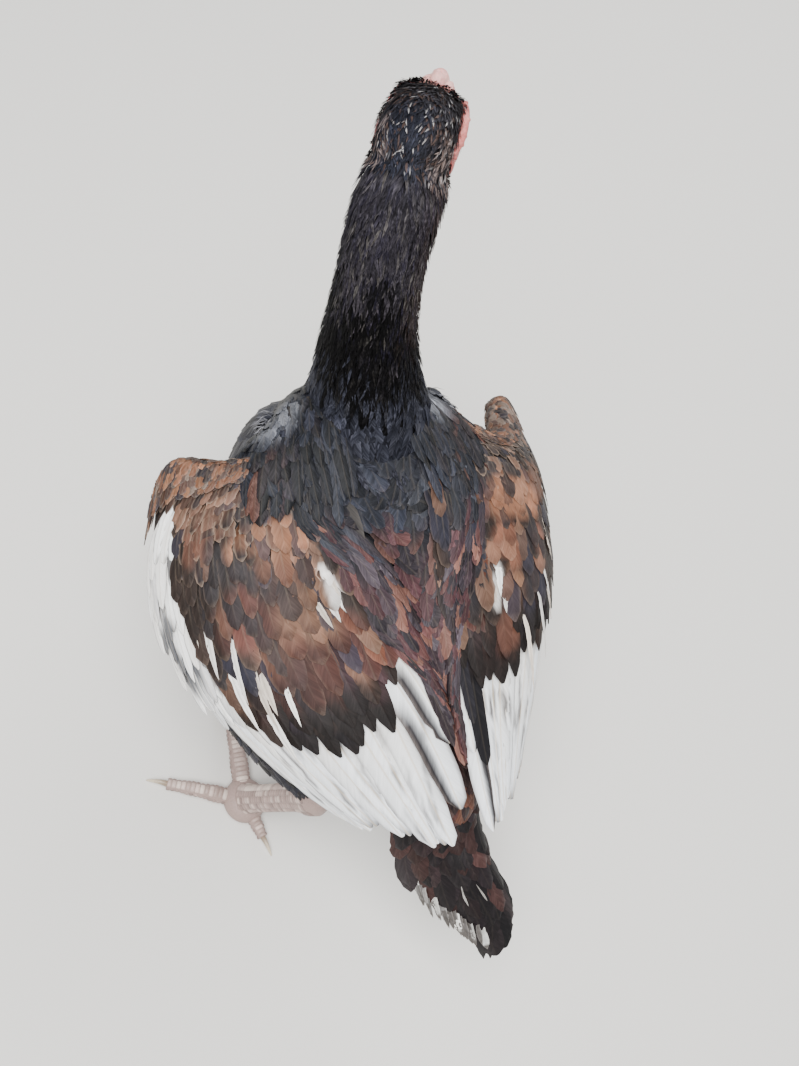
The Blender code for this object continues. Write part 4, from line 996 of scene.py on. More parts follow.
class WingFeathers:
    """Rows of vanes on a wing's or the tail's surface, packed into one map at the end."""

    def __init__(self, sheet, seed):
        self.sheet = sheet
        self.rng = dice(seed)
        self.rows = []

    def add(self, roots, tips, half, heights, lean, outline, rows, columns, colour,
            camber=0.05, ragged=0.05, bow=0.0, flip=False):
        """roots and tips are (n, 2) shares along and across, heights are at root, knee and tip."""
        rng = self.rng
        roots, tips = np.asarray(roots, float), np.asarray(tips, float)
        n = len(roots)
        half = np.broadcast_to(np.asarray(half, float), (n,))
        heights = np.broadcast_to(np.asarray(heights, float), (n, 3))
        heights = heights + rng.normal(0.0, 0.00028, n)[:, None] * np.array((0.0, 1.0, 1.0))
        lean = np.asarray(lean, float) * rng.uniform(0.6, 1.2, n)
        shares = np.linspace(0.0, 1.0, rows) ** 0.92
        q = np.linspace(-1.0, 1.0, columns)
        if columns >= 9:
            q = np.concatenate([np.linspace(-1.0, -0.07, columns // 2), [0.0], np.linspace(0.07, 1.0, columns // 2)])
        wide = along_profile(outline, shares)
        edge = 1.0 - ragged * rng.random((n, rows, 2))
        torn = rng.random((n, rows, 2)) < ragged * 0.9
        edge = np.where(torn, edge * 0.80, edge)
        edge = np.where(q[None, None, :] < 0, edge[..., :1], edge[..., 1:])
        offset = half[:, None, None] * wide[None, :, None] * q * (1.0 + (edge - 1.0) * np.abs(q) ** 3)
        along = roots[:, 0:1] + (tips[:, 0:1] - roots[:, 0:1]) * shares
        middle = roots[:, 1:2] + (tips[:, 1:2] - roots[:, 1:2]) * shares
        width = self.sheet.width(along)
        middle = middle + bow * np.sin(np.pi * shares)[None]
        across = middle[..., None] + offset / width[..., None]
        lift = heights[:, 0:1] + (heights[:, 1:2] - heights[:, 0:1]) * np.clip(shares / 0.4, 0, 1)
        lift = lift + (heights[:, 2:3] - heights[:, 1:2]) * np.clip((shares - 0.4) / 0.6, 0, 1)
        height = lift[..., None] + lean[:, None, None] * offset - camber * half[:, None, None] * (q**2)
        height = height + 0.00028 * (1.0 - 0.7 * shares)[None, :, None] * (np.abs(q) < 0.02)
        height = height + 0.00010 * rng.normal(size=(n, rows, columns)) * (np.abs(q) > 0.1)
        along_all = np.broadcast_to(along[..., None], across.shape)
        points = self.sheet.at(along_all, across, height)
        steps = np.linalg.norm(np.diff(points[:, :, columns // 2], axis=1), axis=-1)
        length = steps.sum(axis=1)
        run = np.concatenate([np.zeros((n, 1)), np.cumsum(steps, axis=1)], axis=1)
        local = np.stack(np.broadcast_arrays(offset / 0.1 + 0.5, run[..., None] / 0.1), axis=-1)
        tint = colour(along_all, across, shares[None, :, None], q[None, None, :], rng, n)
        self.rows.append((points, local, tint, length, half, q, shares, flip))

    def build(self, name, material):
        lengths = np.concatenate([row[3] for row in self.rows])
        halves = np.concatenate([np.broadcast_to(row[4], row[3].shape) for row in self.rows])
        low, wide, tall = packed_cells(lengths, halves)
        bag = Bag()
        start = 0
        for points, local, tint, length, _, q, shares, flip in self.rows:
            n = len(length)
            own = slice(start, start + n)
            u = low[own, 0, None, None] + wide[own, None, None] * (q[None, None, :] + 1) / 2
            v = low[own, 1, None, None] + tall[own, None, None] * shares[None, :, None]
            patch = np.stack(np.broadcast_arrays(u, v), axis=-1)
            if flip:
                points, local, tint, patch = (x[:, :, ::-1] for x in (points, local, tint, patch))
            bag.add(points, local, tint, patch)
            start += n
        return bag.build(name, material)


def node(tree, kind, inputs=None, **settings):
    """Adds a shader node with its settings, its inputs given as values or as the sockets that feed them."""
    made = tree.nodes.new(kind)
    for name, value in settings.items():
        setattr(made, name, value)
    for key, value in (inputs or {}).items():
        if isinstance(value, bpy.types.NodeSocket):
            tree.links.new(value, made.inputs[key])
        else:
            made.inputs[key].default_value = value
    return made


def shade(tree, inputs):
    """Sets or links inputs of a material's own shader."""
    shader = tree.nodes["Principled BSDF"]
    for key, value in inputs.items():
        if isinstance(value, bpy.types.NodeSocket):
            tree.links.new(value, shader.inputs[key])
        else:
            shader.inputs[key].default_value = value
    return shader


def new_material(name):
    material = bpy.data.materials.new(name)
    material.use_nodes = True
    return material, material.node_tree


def feather_material(name, roughness, barb_mm, contrast, relief_mm, gloss=0.16):
    """Keratin vane of hooked barbs: fine slanted streaks beside a smooth shaft, dull with a faint gloss, and a painted
    sheen on the streaks' crests.

    Real barbs stand about 0.3 mm apart; they are drawn coarser, at barb_mm, so that they show.
    """
    material, tree = new_material(name)
    tint = node(tree, "ShaderNodeVertexColor", layer_name="Tint")
    vane = node(tree, "ShaderNodeUVMap", uv_map="Feather")
    place = node(tree, "ShaderNodeUVMap", uv_map="OFBake")
    parts = node(tree, "ShaderNodeSeparateXYZ", {0: vane.outputs[0]})
    own = node(tree, "ShaderNodeSeparateXYZ", {0: place.outputs[0]})
    off = node(tree, "ShaderNodeMath", {0: parts.outputs["X"], 1: 0.5}, operation="SUBTRACT")
    side = node(tree, "ShaderNodeMath", {0: off.outputs[0]}, operation="ABSOLUTE")
    slant = node(tree, "ShaderNodeMath", {0: side.outputs[0], 1: -1.9, 2: parts.outputs["Y"]},
                 operation="MULTIPLY_ADD")
    long = node(tree, "ShaderNodeMath", {0: side.outputs[0], 1: BARB_SLANT}, operation="MULTIPLY")
    mark = node(tree, "ShaderNodeMath", {0: own.outputs["X"], 1: 0.9}, operation="MULTIPLY")
    barbs = node(tree, "ShaderNodeCombineXYZ", {"X": slant.outputs[0], "Y": long.outputs[0], "Z": mark.outputs[0]})
    streak = node(tree, "ShaderNodeTexNoise",
                  {"Vector": barbs.outputs[0], "Scale": 100.0 / barb_mm, "Detail": 2.0, "Roughness": 0.6})
    clump = node(tree, "ShaderNodeTexNoise",
                 {"Vector": barbs.outputs[0], "Scale": 100.0 / (barb_mm * 3.4), "Detail": 1.0})
    both = node(tree, "ShaderNodeMath", {0: streak.outputs["Fac"], 1: clump.outputs["Fac"]}, operation="ADD")
    # The barb streaks darken and lighten the vane in the barbs' own pattern, and lighten it most on their crests, a
    # painted sheen
    dark = node(tree, "ShaderNodeMapRange",
                {"Value": both.outputs[0], "From Min": 0.7, "From Max": 1.3,
                 "To Min": 1.0 - contrast * 0.5, "To Max": 1.0 + contrast * 0.2})
    deep = node(tree, "ShaderNodeMapRange",
                {"Value": both.outputs[0], "From Min": 0.7, "From Max": 1.3,
                 "To Min": 1.0 + contrast * 0.40, "To Max": 1.0 - contrast * 0.36})
    scaled = node(tree, "ShaderNodeVectorMath", {0: tint.outputs["Color"], "Scale": dark.outputs[0]},
                  operation="SCALE")
    body = node(tree, "ShaderNodeGamma", {"Color": scaled.outputs[0], "Gamma": deep.outputs[0]})
    shaft = node(tree, "ShaderNodeMapRange",
                 {"Value": side.outputs[0], "From Min": 0.0022, "From Max": 0.0060, "To Min": 1.0, "To Max": 0.0})
    pale = node(tree, "ShaderNodeMath", {0: shaft.outputs[0], 1: tint.outputs["Alpha"]}, operation="MULTIPLY")
    coloured = node(tree, "ShaderNodeMix",
                    {"Factor": pale.outputs[0], "A": body.outputs[0], "B": (*linear("#c8b69c"), 1.0)},
                    data_type="RGBA")
    rise = node(tree, "ShaderNodeMath", {0: shaft.outputs[0], 1: 0.6, 2: streak.outputs["Fac"]},
                operation="MULTIPLY_ADD")
    bump = node(tree, "ShaderNodeBump",
                {"Height": rise.outputs[0], "Distance": relief_mm / 1000, "Strength": 0.7})
    shade(tree, {"Base Color": coloured.outputs[2], "Normal": bump.outputs[0], "Roughness": roughness,
                 "Specular IOR Level": gloss, "IOR": 1.54})
    return material


def skin_material(name, pale, deep, roughness, fold_mm, relief_mm, subsurface):
    """Living bird skin: uneven blood colour under a thin dull surface with fine pits and folds, its colour darker in
    the creases, as painted shade.
    """
    material, tree = new_material(name)
    place = node(tree, "ShaderNodeTexCoord")
    blood = node(tree, "ShaderNodeTexNoise",
                 {"Vector": place.outputs["Object"], "Scale": 1000 / (fold_mm * 7), "Detail": 4.0})
    pits = node(tree, "ShaderNodeTexVoronoi",
                {"Vector": place.outputs["Object"], "Scale": 1000 / fold_mm, "Randomness": 1.0},
                feature="SMOOTH_F1")
    grain = node(tree, "ShaderNodeTexNoise",
                 {"Vector": place.outputs["Object"], "Scale": 1000 / (fold_mm * 0.35), "Detail": 3.0})
    tones = node(tree, "ShaderNodeValToRGB", {"Fac": blood.outputs["Fac"]})
    ramp_points = tones.color_ramp.elements
    ramp_points[0].position, ramp_points[1].position = 0.36, 0.66
    ramp_points[0].color = (*(np.array(pale) * deep), 1.0)
    ramp_points[1].color = (*pale, 1.0)
    # Painted shade: the colour darker in the sunk creases between the bumps, with a faint painted highlight on their
    # tops
    crease_shade = node(tree, "ShaderNodeMapRange",
                {"Value": pits.outputs["Distance"], "From Min": 0.0, "From Max": 0.9, "To Min": 1.08, "To Max": 0.74})
    body = node(tree, "ShaderNodeVectorMath", {0: tones.outputs["Color"], "Scale": crease_shade.outputs[0]},
                operation="SCALE")
    sunk = node(tree, "ShaderNodeMath", {0: pits.outputs["Distance"], 1: -1.0, 2: grain.outputs["Fac"]},
                operation="MULTIPLY_ADD")
    bump = node(tree, "ShaderNodeBump", {"Height": sunk.outputs[0], "Distance": relief_mm / 1000, "Strength": 0.8})
    shade(tree, {"Base Color": body.outputs[0], "Normal": bump.outputs[0], "Roughness": roughness,
                 "Subsurface Weight": subsurface, "Subsurface Scale": 0.002, "IOR": 1.4})
    return material


def tinted_material(name, roughness, grain_mm, relief_mm, contrast, coat=0.0):
    """Horn, scale or eye, whose own colours are in the mesh, with a fine grain of its surface."""
    material, tree = new_material(name)
    tint = node(tree, "ShaderNodeVertexColor", layer_name="Tint")
    place = node(tree, "ShaderNodeTexCoord")
    grain = node(tree, "ShaderNodeTexNoise",
                 {"Vector": place.outputs["Object"], "Scale": 1000 / grain_mm, "Detail": 4.0, "Roughness": 0.65})
    dark = node(tree, "ShaderNodeMapRange",
                {"Value": grain.outputs["Fac"], "From Min": 0.3, "From Max": 0.7,
                 "To Min": 1.0 - contrast, "To Max": 1.0 + contrast})
    body = node(tree, "ShaderNodeVectorMath", {0: tint.outputs["Color"], "Scale": dark.outputs[0]},
                operation="SCALE")
    bump = node(tree, "ShaderNodeBump",
                {"Height": grain.outputs["Fac"], "Distance": relief_mm / 1000, "Strength": 0.6})
    shade(tree, {"Base Color": body.outputs[0], "Normal": bump.outputs[0], "Roughness": roughness,
                 "Coat Weight": coat, "Coat Roughness": 0.03, "IOR": 1.5})
    return material


def hexes(*codes):
    """Linear colours of several hex codes, one in each row."""
    return np.stack([linear(code) for code in codes])


def painted(marks, along, across, colour):
    """Colours with soft oval marks laid over them, each by its place, half sizes, colour and strength."""
    for a, c, half_a, half_c, code, strength in marks:
        far = np.hypot((along - a) / half_a, (across - c) / half_c)
        colour = mix(colour, linear(code), strength * (1.0 - ramp(far, 0.62, 1.12)))
    return colour


def faded(colour, share):
    """Browns worn towards their own greyish lilac."""
    grey = colour.mean(axis=-1, keepdims=True) * np.array((1.02, 0.96, 1.08))
    return mix(colour, grey, np.full(colour.shape[:-1], share))


def with_shaft(colour, shaft):
    return np.concatenate([colour, np.broadcast_to(np.asarray(shaft)[..., None], colour.shape[:-1] + (1,))], axis=-1)


def body_colour(roots):
    """The plumage colour of torso, neck and thighs at places on the outer form."""
    head, neck, torso, left, right = region_shares(roots)
    x, y, z = roots.T
    colour = np.broadcast_to(linear("#1f1f25"), (len(roots), 3))
    upper = ramp(z - 0.165 + 0.38 * y, -0.03, 0.03)
    colour = mix(colour, linear("#22242c"), upper * (0.6 + 0.4 * noise(roots, 0.03, 3)))
    rump = ramp(y, -0.040, -0.010) * upper * (1.0 - ramp(np.abs(x), 0.036, 0.056))
    colour = mix(colour, linear("#452b25"), rump * 0.85)
    colour = mix(colour, linear("#1e1a1b"), (1.0 - upper) * 0.6)
    thighs = np.maximum(left, right)
    colour = mix(colour, linear("#1a1718"), thighs * 0.8)
    vent = (1.0 - upper) * ramp(y, 0.030, 0.070)
    colour = mix(colour, linear("#4e4a48"), vent * 0.5)
    neck = np.maximum(neck, head)
    colour = mix(colour, linear("#343034"), neck * 0.9)
    low = neck * (1.0 - ramp(z + 0.030 * (noise(roots, 0.010, 8) - 0.5), 0.291, 0.323))
    colour = mix(colour, linear("#020202"), low * 0.96)
    base = neck * (1.0 - ramp(z + 0.014 * (noise(roots, 0.010, 9) - 0.2), 0.254, 0.268))
    colour = mix(colour, linear("#2b2c34"), base * 0.9)
    high = neck * ramp(z, 0.318, 0.345)
    colour = mix(colour, linear("#201e23"), high * 0.7)
    brown = neck * ramp(z, 0.285, 0.320) * ramp(-x, -0.004, 0.014)
    return mix(colour, linear("#33251e"), brown * 0.7)


def coat_colour(roots, points, shares, q, rng):
    """Body feathers: darker towards the root, painted shade where the feathers above lie over it, darker in the middle
    and paler at the edge, and a painted bluish sheen on some.
    """
    n = len(roots)
    base = body_colour(roots)
    base = base * np.exp(rng.normal(0.0, 0.22, n))[:, None]
    # Painted bluish sheen: a blue tint added to the colour of some feathers
    gloss = rng.random(n)[:, None] ** 2 * linear("#39405a") * 0.16
    rump = ramp(roots[:, 1], -0.036, -0.008) * ramp(roots[:, 2] - 0.165 + 0.38 * roots[:, 1], -0.03, 0.03)
    pick = rng.random(n)
    warm = hexes("#55302a", "#352426", "#6b4434", "#2a2224", "#4a3a38")[(pick * 5).astype(int)]
    base = mix(base, warm, rump * 0.75)
    base = base + gloss * (1.0 - rump)[:, None]
    # Painted shade: each feather darker towards its covered root and in its middle, paler at edge and tip
    edge = np.abs(q)[None, None, :] ** 2 * 0.55 + (shares[None, :, None] ** 3) * 0.45
    colour = base[:, None, None, :] * (0.75 + 0.55 * edge[..., None])
    shaft = (0.015 + 0.05 * rump)[:, None, None] * (1.0 - shares[None, :, None]) ** 0.5
    return with_shaft(colour, np.broadcast_to(shaft, colour.shape[:-1]))


def head_colour(roots, points, shares, q, rng):
    """Head feathers: dark grey, one in eight tipped with white, bluish on the nape."""
    n = len(roots)
    local = head_local(roots)
    base = np.broadcast_to(linear("#232124"), (n, 3))
    base = mix(base, linear("#191c26"), ramp(-local[:, 0], 0.008, 0.026) * ramp(local[:, 1], -0.012, -0.002) * 0.7)
    base = base * np.exp(rng.normal(0.0, 0.40, n))[:, None]
    ear = 1.0 - ramp(np.hypot((local[:, 0] + 0.0210) / 0.0120, (local[:, 2] + 0.0030) / 0.0110), 0.6, 1.1)
    ear = ear * ramp(np.abs(local[:, 1]), 0.0085, 0.0125)
    base = mix(base, linear("#93827c"), ear * (rng.random(n) < 0.5) * rng.uniform(0.2, 0.9, n))
    white = rng.random(n) < 0.085
    brown = rng.random(n) < 0.12
    base = mix(base, linear("#4a3a33"), brown * 0.7)
    tip = ramp(shares, 0.35, 0.75)[None, :, None] * white[:, None, None]
    colour = np.broadcast_to(base[:, None, None, :], (n, len(shares), len(q), 3))
    colour = colour * (0.75 + 0.5 * np.abs(q)[None, None, :, None])
    colour = mix(colour, linear("#a8a5a3"), tip * rng.uniform(0.15, 0.8, n)[:, None, None])
    return with_shaft(colour, np.zeros(colour.shape[:-1]))


def hackle_colour(roots, points, shares, q, rng):
    """Neck hackles: black and grey, with a painted blue sheen on some; each is darker towards its root, painted shade
    under the hackles above, and darker in its middle than at its edge.
    """
    n = len(roots)
    spots = roots + np.array((0.0, 0.0, 1.0)) * rng.normal(0.0, 0.0045, n)[:, None]
    base = body_colour(spots) * np.exp(rng.normal(0.0, 0.28, n))[:, None]
    # Painted blue sheen: some upper hackles tinted blue-black
    painted_blue_sheen = (rng.random(n) < 0.25) * ramp(roots[:, 2], 0.28, 0.31)
    base = mix(base, linear("#1d1a28"), painted_blue_sheen * 0.4)
    grey = (rng.random(n) < 0.16) * (0.15 + 0.85 * ramp(roots[:, 2], 0.29, 0.315))
    base = mix(base, linear("#57534f"), grey * rng.uniform(0.1, 0.7, n) ** 1.5)
    # Each hackle darker in the middle than at the edge, and towards its root, painted shade where the hackles above
    # cover it
    edge = 0.75 + 0.5 * np.abs(q)[None, None, :, None]
    colour = base[:, None, None, :] * edge * (0.85 + 0.3 * shares[None, :, None, None])
    return with_shaft(colour, np.zeros(colour.shape[:-1]))


def down_colour(roots, points, shares, q, rng):
    """Down: from dark to pale grey."""
    n = len(roots)
    colour = mix(np.broadcast_to(linear("#45454a"), (n, 3)), linear("#8f8e92"), rng.random(n))
    colour = np.broadcast_to(colour[:, None, None, :], (n, len(shares), len(q), 3))
    return with_shaft(colour, np.zeros(colour.shape[:-1]))


# Soft oval marks on each wing: along, across, their half sizes, colour and strength
LEFT_MARKS = (
    (0.10, -0.05, 0.30, 0.22, "#1d1e25", 0.95),
    (0.15, 0.13, 0.05, 0.04, "#5a4038", 0.60),
    (0.10, 0.45, 0.13, 0.26, "#5c3f30", 0.90),
    (0.04, 0.60, 0.06, 0.16, "#5f463a", 0.80),
    (0.18, 0.48, 0.08, 0.14, "#8a5f45", 0.80),
    (0.24, 0.28, 0.05, 0.10, "#5a3a2c", 0.70),
    (0.30, 0.20, 0.06, 0.20, "#a5683c", 0.95),
    (0.27, 0.52, 0.05, 0.08, "#8a553a", 0.70),
    (0.31, 0.46, 0.07, 0.09, "#332d2e", 0.80),
    (0.38, 0.36, 0.05, 0.08, "#3a3133", 0.75),
    (0.38, 0.20, 0.05, 0.12, "#8f5838", 0.70),
    (0.46, 0.42, 0.08, 0.14, "#613427", 0.90),
    (0.46, 0.26, 0.06, 0.08, "#74442f", 0.80),
    (0.50, 0.18, 0.09, 0.14, "#8f6242", 0.85),
    (0.56, 0.34, 0.07, 0.14, "#744830", 0.85),
    (0.44, 0.055, 0.055, 0.045, "#efe9de", 0.95),
    (0.42, 0.11, 0.05, 0.04, "#a8744c", 0.70),
    (0.56, 0.04, 0.07, 0.10, "#62392b", 0.80),
    (0.62, 0.22, 0.08, 0.20, "#552a1c", 0.90),
    (0.64, 0.48, 0.07, 0.18, "#45261e", 0.90),
    (0.67, 0.06, 0.05, 0.08, "#4d3034", 0.80),
    (0.755, 0.30, 0.035, 0.40, "#1a1518", 0.85),
    (0.58, 0.60, 0.10, 0.08, "#2a2120", 0.80),
)
RIGHT_MARKS = (
    (0.22, -0.05, 0.40, 0.16, "#22232b", 0.95),
    (0.05, 0.45, 0.12, 0.30, "#6b594c", 0.90),
    (0.18, 0.04, 0.05, 0.05, "#6a463a", 0.60),
    (0.22, 0.25, 0.07, 0.18, "#3a3230", 0.70),
    (0.28, 0.08, 0.06, 0.04, "#945c3c", 0.80),
    (0.33, 0.30, 0.07, 0.22, "#a2673f", 0.95),
    (0.27, 0.52, 0.07, 0.12, "#8a5a3e", 0.80),
    (0.40, 0.03, 0.11, 0.07, "#2c2e3b", 0.90),
    (0.45, 0.20, 0.06, 0.10, "#925838", 0.85),
    (0.45, 0.34, 0.05, 0.06, "#3a3335", 0.70),
    (0.46, 0.46, 0.06, 0.08, "#7a4c38", 0.80),
    (0.55, 0.13, 0.05, 0.04, "#ece6da", 0.90),
    (0.58, 0.24, 0.08, 0.08, "#96653f", 0.85),
    (0.56, 0.42, 0.08, 0.10, "#3a2f30", 0.80),
    (0.66, 0.18, 0.06, 0.10, "#74452f", 0.85),
    (0.70, 0.03, 0.08, 0.10, "#57332a", 0.85),
    (0.68, 0.48, 0.05, 0.16, "#1f181a", 0.80),
    (0.72, 0.22, 0.03, 0.08, "#1d1819", 0.80),
    (0.45, 0.85, 0.25, 0.20, "#3a3230", 0.80),
)
# Tips of the tail feathers from the outermost inwards: along, across
TAIL_LEFT = ((0.48, 0.10), (0.57, 0.16), (0.65, 0.24), (0.73, 0.31), (0.80, 0.38), (0.86, 0.44))
TAIL_RIGHT = ((0.70, 0.90), (0.76, 0.87), (0.82, 0.82), (0.86, 0.76), (0.89, 0.70), (0.90, 0.63))
SHOULDER_END = {1: 0.38, -1: 0.28}
# The wing's rounded front: along and height from below round to the top, and its first and last place across
WRIST_ROWS = ((0.06, -0.0070), (-0.004, -0.0086), (-0.028, -0.0032), (-0.014, 0.0024), (0.045, 0.0040),
              (0.095, 0.0046))
WRIST_SPAN = {1: (0.30, 1.02), -1: (0.26, 0.98)}
SHOULDER_ROWS = ((-0.24, -0.034), (-0.18, -0.009), (-0.08, 0.0030), (0.07, 0.0074), (0.26, 0.0070))
# Where the coverts end on each wing: along for each place across
LEFT_LINE = ((-0.1, 0.66), (0.0, 0.69), (0.1, 0.735), (0.2, 0.76), (0.3, 0.785), (0.4, 0.775), (0.5, 0.74),
             (0.6, 0.72), (0.7, 0.69), (0.8, 0.60), (1.0, 0.50))
RIGHT_LINE = ((-0.2, 0.72), (-0.1, 0.74), (0.0, 0.74), (0.1, 0.72), (0.2, 0.73), (0.3, 0.71), (0.4, 0.70),
              (0.5, 0.69), (0.7, 0.63), (1.0, 0.52))
WING_BASE = "#33261f"
# How far the tips of the flight feathers lean towards the tail
FLIGHT_SWEEP = {1: 0.0, -1: 0.22}
# White feathers that lie between the brown ones: along and across at root and tip
STREAKS = {
    1: ((0.32, 0.53, 0.53, 0.65), (0.40, 0.46, 0.61, 0.60), (0.48, 0.45, 0.69, 0.57), (0.56, 0.38, 0.70, 0.46),
        (0.26, 0.60, 0.45, 0.66), (0.44, 0.54, 0.68, 0.66), (0.58, 0.52, 0.77, 0.61),
        (0.52, 0.44, 0.66, 0.52), (0.36, 0.06, 0.46, 0.04), (0.36, 0.12, 0.47, 0.09), (0.40, 0.10, 0.52, 0.08),
        (0.42, 0.15, 0.53, 0.12), (0.34, 0.10, 0.42, 0.07)),
    -1: ((0.36, 0.34, 0.57, 0.54), (0.48, 0.38, 0.72, 0.51), (0.56, 0.28, 0.78, 0.37), (0.28, 0.46, 0.48, 0.62),
         (0.42, 0.46, 0.63, 0.60), (0.46, 0.16, 0.57, 0.14), (0.50, 0.18, 0.61, 0.17), (0.48, 0.13, 0.58, 0.11)),
}


def covert_colour(marks, black_tip, fringe, variety, tip_from=0.80):
    """Colours of coverts: the wing's marks, unevenly, darker towards the root and middle, partly the feather's own
    dark base and partly painted shade under the row above, and black tips or a pale fringe.
    """

    def colour(along, across, shares, q, rng, n):
        whole = np.ones_like(along)
        slip = rng.normal(0.0, variety, (2, n, 1, 1))
        base = np.broadcast_to(linear(WING_BASE), along.shape + (3,))
        base = faded(painted(marks, along + slip[0] * 0.4, across + slip[1] * 0.7, base), 0.22)
        pale = ramp(base.min(axis=-1), 0.25, 0.5)
        base = base * (0.68 + 0.32 * pale)[..., None]
        base = base * np.exp(rng.normal(0.0, 0.26, n))[:, None, None, None]
        odd = rng.random(n)
        dull = ((odd < 0.33) * rng.uniform(0.45, 0.9, n))[:, None, None] * whole * (1.0 - pale)
        base = mix(base, hexes("#292527", "#2b2a35")[(odd * 97).astype(int) % 2][:, None, None, :], dull)
        warm = ((odd > 0.84) * rng.uniform(0.15, 0.45, n))[:, None, None] * whole * (1.0 - pale)
        base = mix(base, linear("#a37a63"), warm)
        # Darker towards the root and middle: the feather's own dark base, and painted shade where the row above lies
        # over it
        centre = 1.0 - 0.45 * (1.0 - ramp(shares, 0.45, 0.85) * 0.8) * (1.0 - np.abs(q) * 0.5) * whole
        base = base * centre[..., None]
        tip = ramp(shares + 0.05 * np.abs(q), tip_from, tip_from + 0.13) * whole
        own = (rng.random(n) < 0.85)[:, None, None]
        base = mix(base, linear("#16110f"), tip * black_tip * own)
        rim = np.maximum(ramp(np.abs(q), 0.70, 0.98), ramp(shares, 0.90, 1.0)) * whole
        base = mix(base, linear("#a8917e"), rim * fringe * rng.uniform(0.0, 1.0, n)[:, None, None] * (1.0 - pale))
        return with_shaft(base, 0.05 * (1.0 - ramp(shares, 0.5, 0.95)) * whole)

    return colour


def flight_colour(stripe, dark_from, streaks):
    """Colours of cream-white flight feathers with dark bases, edge stripes and small dark streaks, grey lines at the
    rims that are partly painted shadow of the next feather, and painted shade towards the rims.
    """

    def colour(along, across, shares, q, rng, n):
        base = np.broadcast_to(np.array(settings().white), along.shape + (3,))
        base = base * rng.uniform(0.88, 1.0, n)[:, None, None, None]
        warm = rng.random(n)[:, None, None] * np.ones_like(along) * 0.4
        base = mix(base, linear("#d3c3a8"), warm * (1.0 - ramp(shares, 0.5, 1.0)))
        root = 1.0 - ramp(along, dark_from - 0.03, dark_from + 0.02)
        base = mix(base, linear("#2a1d19"), root * 0.9)
        flecks = np.zeros_like(along)
        for _ in range(streaks):
            where = rng.uniform(0.62, 0.97, (n, 1, 1))
            beside = rng.uniform(-0.8, 0.8, (n, 1, 1))
            own = (rng.random((n, 1, 1)) < 0.7) * rng.uniform(0.4, 1.0, (n, 1, 1))
            far = np.hypot((shares - where) / 0.065, (q - beside - 2.4 * (shares - where)) / 0.15)
            flecks = np.maximum(flecks, own * (1.0 - ramp(far, 0.5, 1.1)))
        base = mix(base, linear("#4a4340"), flecks)
        edge = ramp(q, 0.30, 0.42) * stripe * ramp(shares, 0.55, 0.70) * np.ones_like(along)
        base = mix(base, linear("#201d20"), edge)
        shade_in = (1.0 - ramp(np.abs(q - 0.1), 0.1, 1.0) * 0.16) * np.ones_like(along)
        base = base * shade_in[..., None]
        # Grey lines at both rims: the feathers' thin dark edge, and painted shadow where the next feather laps over
        line = np.maximum(ramp(q, 0.80, 0.97), ramp(-q, 0.84, 0.98)) * rng.uniform(0.25, 0.85, (n, 1, 1))
        line = line * np.ones_like(along)
        base = mix(base, linear("#5c5450"), line)
        tip = ramp(shares, 0.955, 0.99) * np.ones_like(along) * (rng.random((n, 1, 1)) < 0.5)
        base = mix(base, linear("#2b2422"), tip * 0.8)
        return with_shaft(base, 0.5 * np.ones_like(along))

    return colour


def primary_covert_colour(along, across, shares, q, rng, n):
    """White outer coverts with fine grey streaks, turning dark grey towards the wing's edge."""
    whole = np.ones_like(along)
    pick = (rng.random(n) * 2.4).astype(int)
    base = hexes("#f8f7f4", "#efece7", "#d6d4d3")[pick][:, None, None, :] * whole[..., None]
    slip = rng.normal(0.0, 0.03, (2, n, 1, 1))
    marks = ((0.43, 0.86, 0.10, 0.09, "#3a3d44", 0.90), (0.24, 0.70, 0.06, 0.03, "#2a2526", 0.85),
             (0.60, 0.86, 0.10, 0.08, "#8b8d90", 0.5), (0.52, 0.68, 0.08, 0.03, "#3a3436", 0.8))
    base = painted(marks, along + slip[0], across + slip[1], base)
    line = np.maximum(ramp(q, 0.70, 0.95), ramp(-q, 0.80, 0.97)) * rng.uniform(0.2, 0.8, (n, 1, 1)) * whole
    return with_shaft(mix(base, linear("#3f3c3d"), line), 0.2 * whole)


def plain_colour(codes, spread=0.2, tips=None, fringe=0.0, shaft=0.03, edge=0.35):
    """Each feather takes one of the colours, unevenly, with another at its tip and a pale rim."""

    def colour(along, across, shares, q, rng, n):
        base = hexes(*codes)[rng.integers(0, len(codes), n)] * np.exp(rng.normal(0.0, spread, n))[:, None]
        base = base[:, None, None, :] * (1.0 - edge * 0.57 + edge * np.abs(q) * np.ones_like(along))[..., None]
        if tips is not None:
            base = mix(base, linear(tips), ramp(shares, 0.72, 0.86) * np.ones_like(along))
        rim = np.maximum(ramp(np.abs(q), 0.75, 0.98), ramp(shares, 0.90, 1.0)) * np.ones_like(along)
        base = mix(base, linear("#b0a8a0"), rim * fringe)
        return with_shaft(base, shaft * np.ones_like(along))

    return colour


def line_up(count, first, last, jitter, rng):
    """Shares from first to last at equal steps, each moved a little."""
    values = np.linspace(first, last, count)
    return values + rng.normal(0.0, jitter, count)


def wing_tier(wing, rng, count, along, across, half, heights, step, outline, mesh, colour, jitter=0.006, **more):
    """One tier: along is (root, inner tip, outer tip), across is (first root, last root, first tip, last tip)."""
    share = np.linspace(0.0, 1.0, count)
    roots = np.stack([np.full(count, along[0]), line_up(count, across[0], across[1], jitter, rng)], axis=1)
    ends = line_up(count, across[2], across[3], jitter, rng)
    tips = np.stack([along[1] + (along[2] - along[1]) * share, ends], axis=1)
    tips[:, 0] += rng.normal(0.0, jitter * 1.2, count)
    wing.add(roots, tips, half, heights, step, outline, mesh[0], mesh[1], colour, **more)


